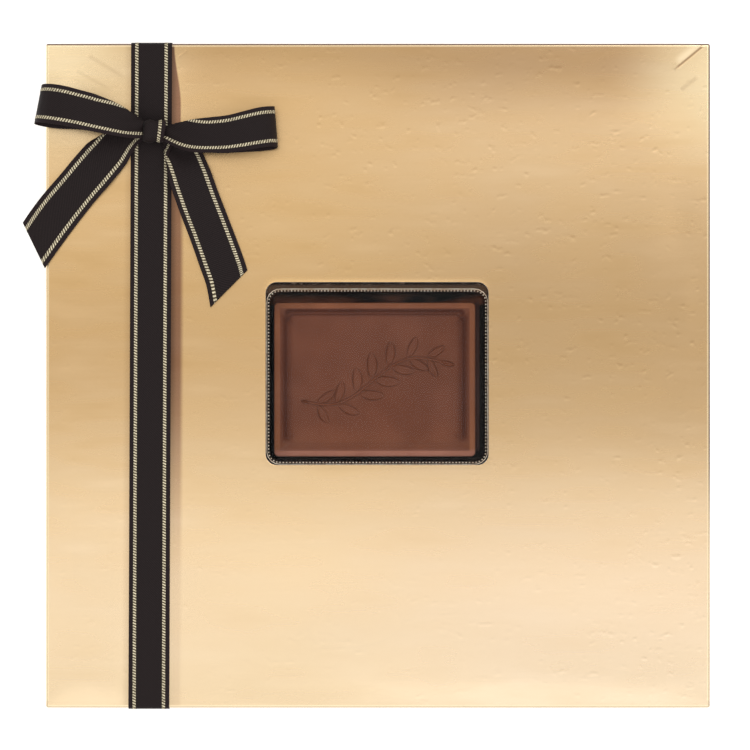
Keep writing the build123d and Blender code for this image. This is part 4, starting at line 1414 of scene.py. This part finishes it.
# %% Ovals and their icing
oval_feet, (oval_x, oval_y, oval_tall) = quarters("oval_pralines")
oval = turned("oval_shells", round_outline(0.5, oval_tall, foot=0.94, waist=0.45, fullness=0.62))
for corner in oval.data.vertices:
    corner.co.x *= oval_x
    corner.co.y *= oval_y
repeat(oval, oval_feet)
bpy.ops.object.shade_smooth_by_angle(angle=math.radians(60))
hand_over(oval, "oval_shells", "tray", "milk_chocolate", milk, "oval_pralines")


def oval_level(x, y):
    """Height of the oval's top at a place in mm from its middle."""
    out = min(math.hypot(x / (oval_x / 2), y / (oval_y / 2)), 1)
    return oval_tall * (0.45 + 0.55 * math.sqrt(1 - out ** (2 / 0.62)))


TRAIL_STEPS, TRAIL_TURNS = 80, 5.5 * math.pi * 1.9
trail = []
for number in range(TRAIL_STEPS + 1):
    share = number / TRAIL_STEPS
    x = (share - 0.5) * oval_x * 0.56
    y = oval_y * 0.25 * math.asin(math.sin(share * TRAIL_TURNS)) / (math.pi / 2)
    trail.append((x * MM, y * MM, (oval_level(x, y) + 0.12) * MM))
icing = drawn_line("icing_trails", "POLY", trail, 0.42 * MM, 2)
repeat(icing, oval_feet)
bpy.ops.object.shade_smooth_by_angle(angle=math.radians(60))
hand_over(icing, "icing_trails", "tray", "white_chocolate", white, "oval_drizzle")

# %% [markdown]
# ## Gold edge of the tray
#
# A thin gold line and a row of tiny beads run round the slab's pocket, the beads just
# inside the line. Both follow the same rounded outline, from the left end of its front
# side round to where it began. One bead has few faces, because there are more than two
# hundred of them.

# %% Gold line
EDGE_LEVEL = 30.57 * MM
RIM = (43.35 * MM, 34.4 * MM, 5.2 * MM)
RIM_PLACE = (-0.3 * MM, -0.35 * MM)


def rim_point(distance, inset):
    """A place on the rounded outline of the pocket's rim."""
    half_x, half_y, corner = RIM[0] - inset, RIM[1] - inset, RIM[2] - inset
    straight_x, straight_y, arc = 2 * (half_x - corner), 2 * (half_y - corner), math.pi * corner / 2
    for turn, length in enumerate((straight_x, straight_y, straight_x, straight_y)):
        heading = turn * math.pi / 2
        along = Vector((math.cos(heading), math.sin(heading)))
        out = Vector((math.sin(heading), -math.cos(heading)))
        half_length = length / 2
        half_out = half_y if turn % 2 == 0 else half_x
        if distance <= length:
            return along * (distance - half_length) + out * half_out
        distance -= length
        if distance <= arc:
            bend = distance / corner
            middle = along * half_length + out * (half_out - corner)
            return middle + out * corner * math.cos(bend) + along * corner * math.sin(bend)
        distance -= arc
    return rim_point(0, inset)


def rim_length(inset):
    """The length of that outline all round."""
    return 4 * (RIM[0] + RIM[1] - 2 * inset) - 8 * (RIM[2] - inset) + 2 * math.pi * (RIM[2] - inset)


def rim_spots(count, inset):
    """So many places round the rim, evenly spaced, at the gold edge's height."""
    around = rim_length(inset)
    spots = [rim_point(around * number / count, inset) for number in range(count)]
    return [Vector((spot.x + RIM_PLACE[0], spot.y + RIM_PLACE[1], EDGE_LEVEL)) for spot in spots]


edge_line = drawn_line("gold_line", "POLY", rim_spots(160, 0.0), 0.16 * MM, 1, closed=True)
hand_over(edge_line, "pocket_gold_line", "tray", "tray_plastic", gold_edge)

# %% Beads
BEAD_INSET, BEAD_PITCH = 0.75 * MM, 1.3 * MM
bpy.ops.object.select_all(action="DESELECT")
bpy.ops.mesh.primitive_uv_sphere_add(segments=8, ring_count=5, radius=0.33 * MM)
bead = bpy.context.object
total = int(rim_length(BEAD_INSET) / BEAD_PITCH)
repeat(bead, rim_spots(total, BEAD_INSET))
bpy.ops.object.shade_smooth()
hand_over(bead, "pocket_gold_beads", "tray", "tray_plastic", gold_edge)
print(total, "beads")

# %% [markdown]
# ## Floor, camera and light
#
# The photograph looks straight down from some way off, so the camera does too. The
# floor is pale. To the camera it also glows a little, so that the background comes out
# white and the box still leaves a soft shadow on it.

# %% Floor
bpy.ops.object.select_all(action="DESELECT")
bpy.ops.mesh.primitive_plane_add(size=6, location=(0, 0, -0.0002))
floor = bpy.context.object
floor.name = "floor"
paper, tree, shader, _ = finish("floor_paper", 0.9)
shader.inputs["Base Color"].default_value = (0.86, 0.86, 0.86, 1)
shader.inputs["Specular IOR Level"].default_value = 0.0
rays = tree.nodes.new("ShaderNodeLightPath")
seen = maths(tree, "MAXIMUM", rays.outputs["Is Camera Ray"],
             maths(tree, "MAXIMUM", rays.outputs["Is Glossy Ray"], rays.outputs["Is Transmission Ray"]))
shader.inputs["Emission Color"].default_value = (1, 1, 1, 1)
tree.links.new(times(tree, seen, 0.45), shader.inputs["Emission Strength"])
floor.data.materials.append(paper)

# %% [markdown]
# The world is an even white. A broad lamp in front and a smaller one behind give the
# folds and the bow their light and soft shadow, and two small ones are there to be
# mirrored as a glow near the panel's back corners.

# %% World and lamps
world = bpy.data.worlds.new("studio")
bpy.context.scene.world = world
world.use_nodes = True
world.node_tree.nodes["Background"].inputs["Color"].default_value = (1, 1, 1, 1)
world.node_tree.nodes["Background"].inputs["Strength"].default_value = 0.86

LAMPS = (("key_front", (0.05, -0.78, 1.30), (0, 0, 0.03), (2.2, 1.2), 6.5),
         ("fill_back", (0.5, 0.9, 1.2), (0, 0, 0.03), (0.9, 0.6), 3.0),
         ("glow_left", (-0.43, 0.44, 1.3), (-0.13, 0.13, 0.03), (0.30, 0.30), 0.45),
         ("glow_right", (0.47, 0.38, 1.3), (0.13, 0.13, 0.03), (0.30, 0.30), 0.40))
for name, place, aim, size, power in LAMPS:
    light = bpy.data.lights.new(name, "AREA")
    light.shape = "RECTANGLE"
    light.size, light.size_y = size
    light.energy = power
    holder = place_object(name, light)
    holder.location = place
    holder.rotation_euler = (Vector(aim) - Vector(place)).to_track_quat("-Z", "Y").to_euler()
print(len(LAMPS), "lamps")

# %% [markdown]
# A new camera already looks straight down. Its lens is worked out from how wide a strip
# of the panel's plane the photograph shows, 294 mm, and from its distance.

# %% Camera
SENSOR, STRIP = 36, 0.2940
eye = bpy.data.cameras.new("camera")
eye.sensor_width = SENSOR
eye.lens = SENSOR * DISTANCE * MM / STRIP
camera = place_object("camera", eye)
camera.location = (ABOVE[0] * MM, ABOVE[1] * MM, LID_TOP + DISTANCE * MM)
bpy.context.scene.camera = camera
bpy.context.scene.view_settings.view_transform = "Standard"
print("lens:", round(eye.lens, 1), "mm")
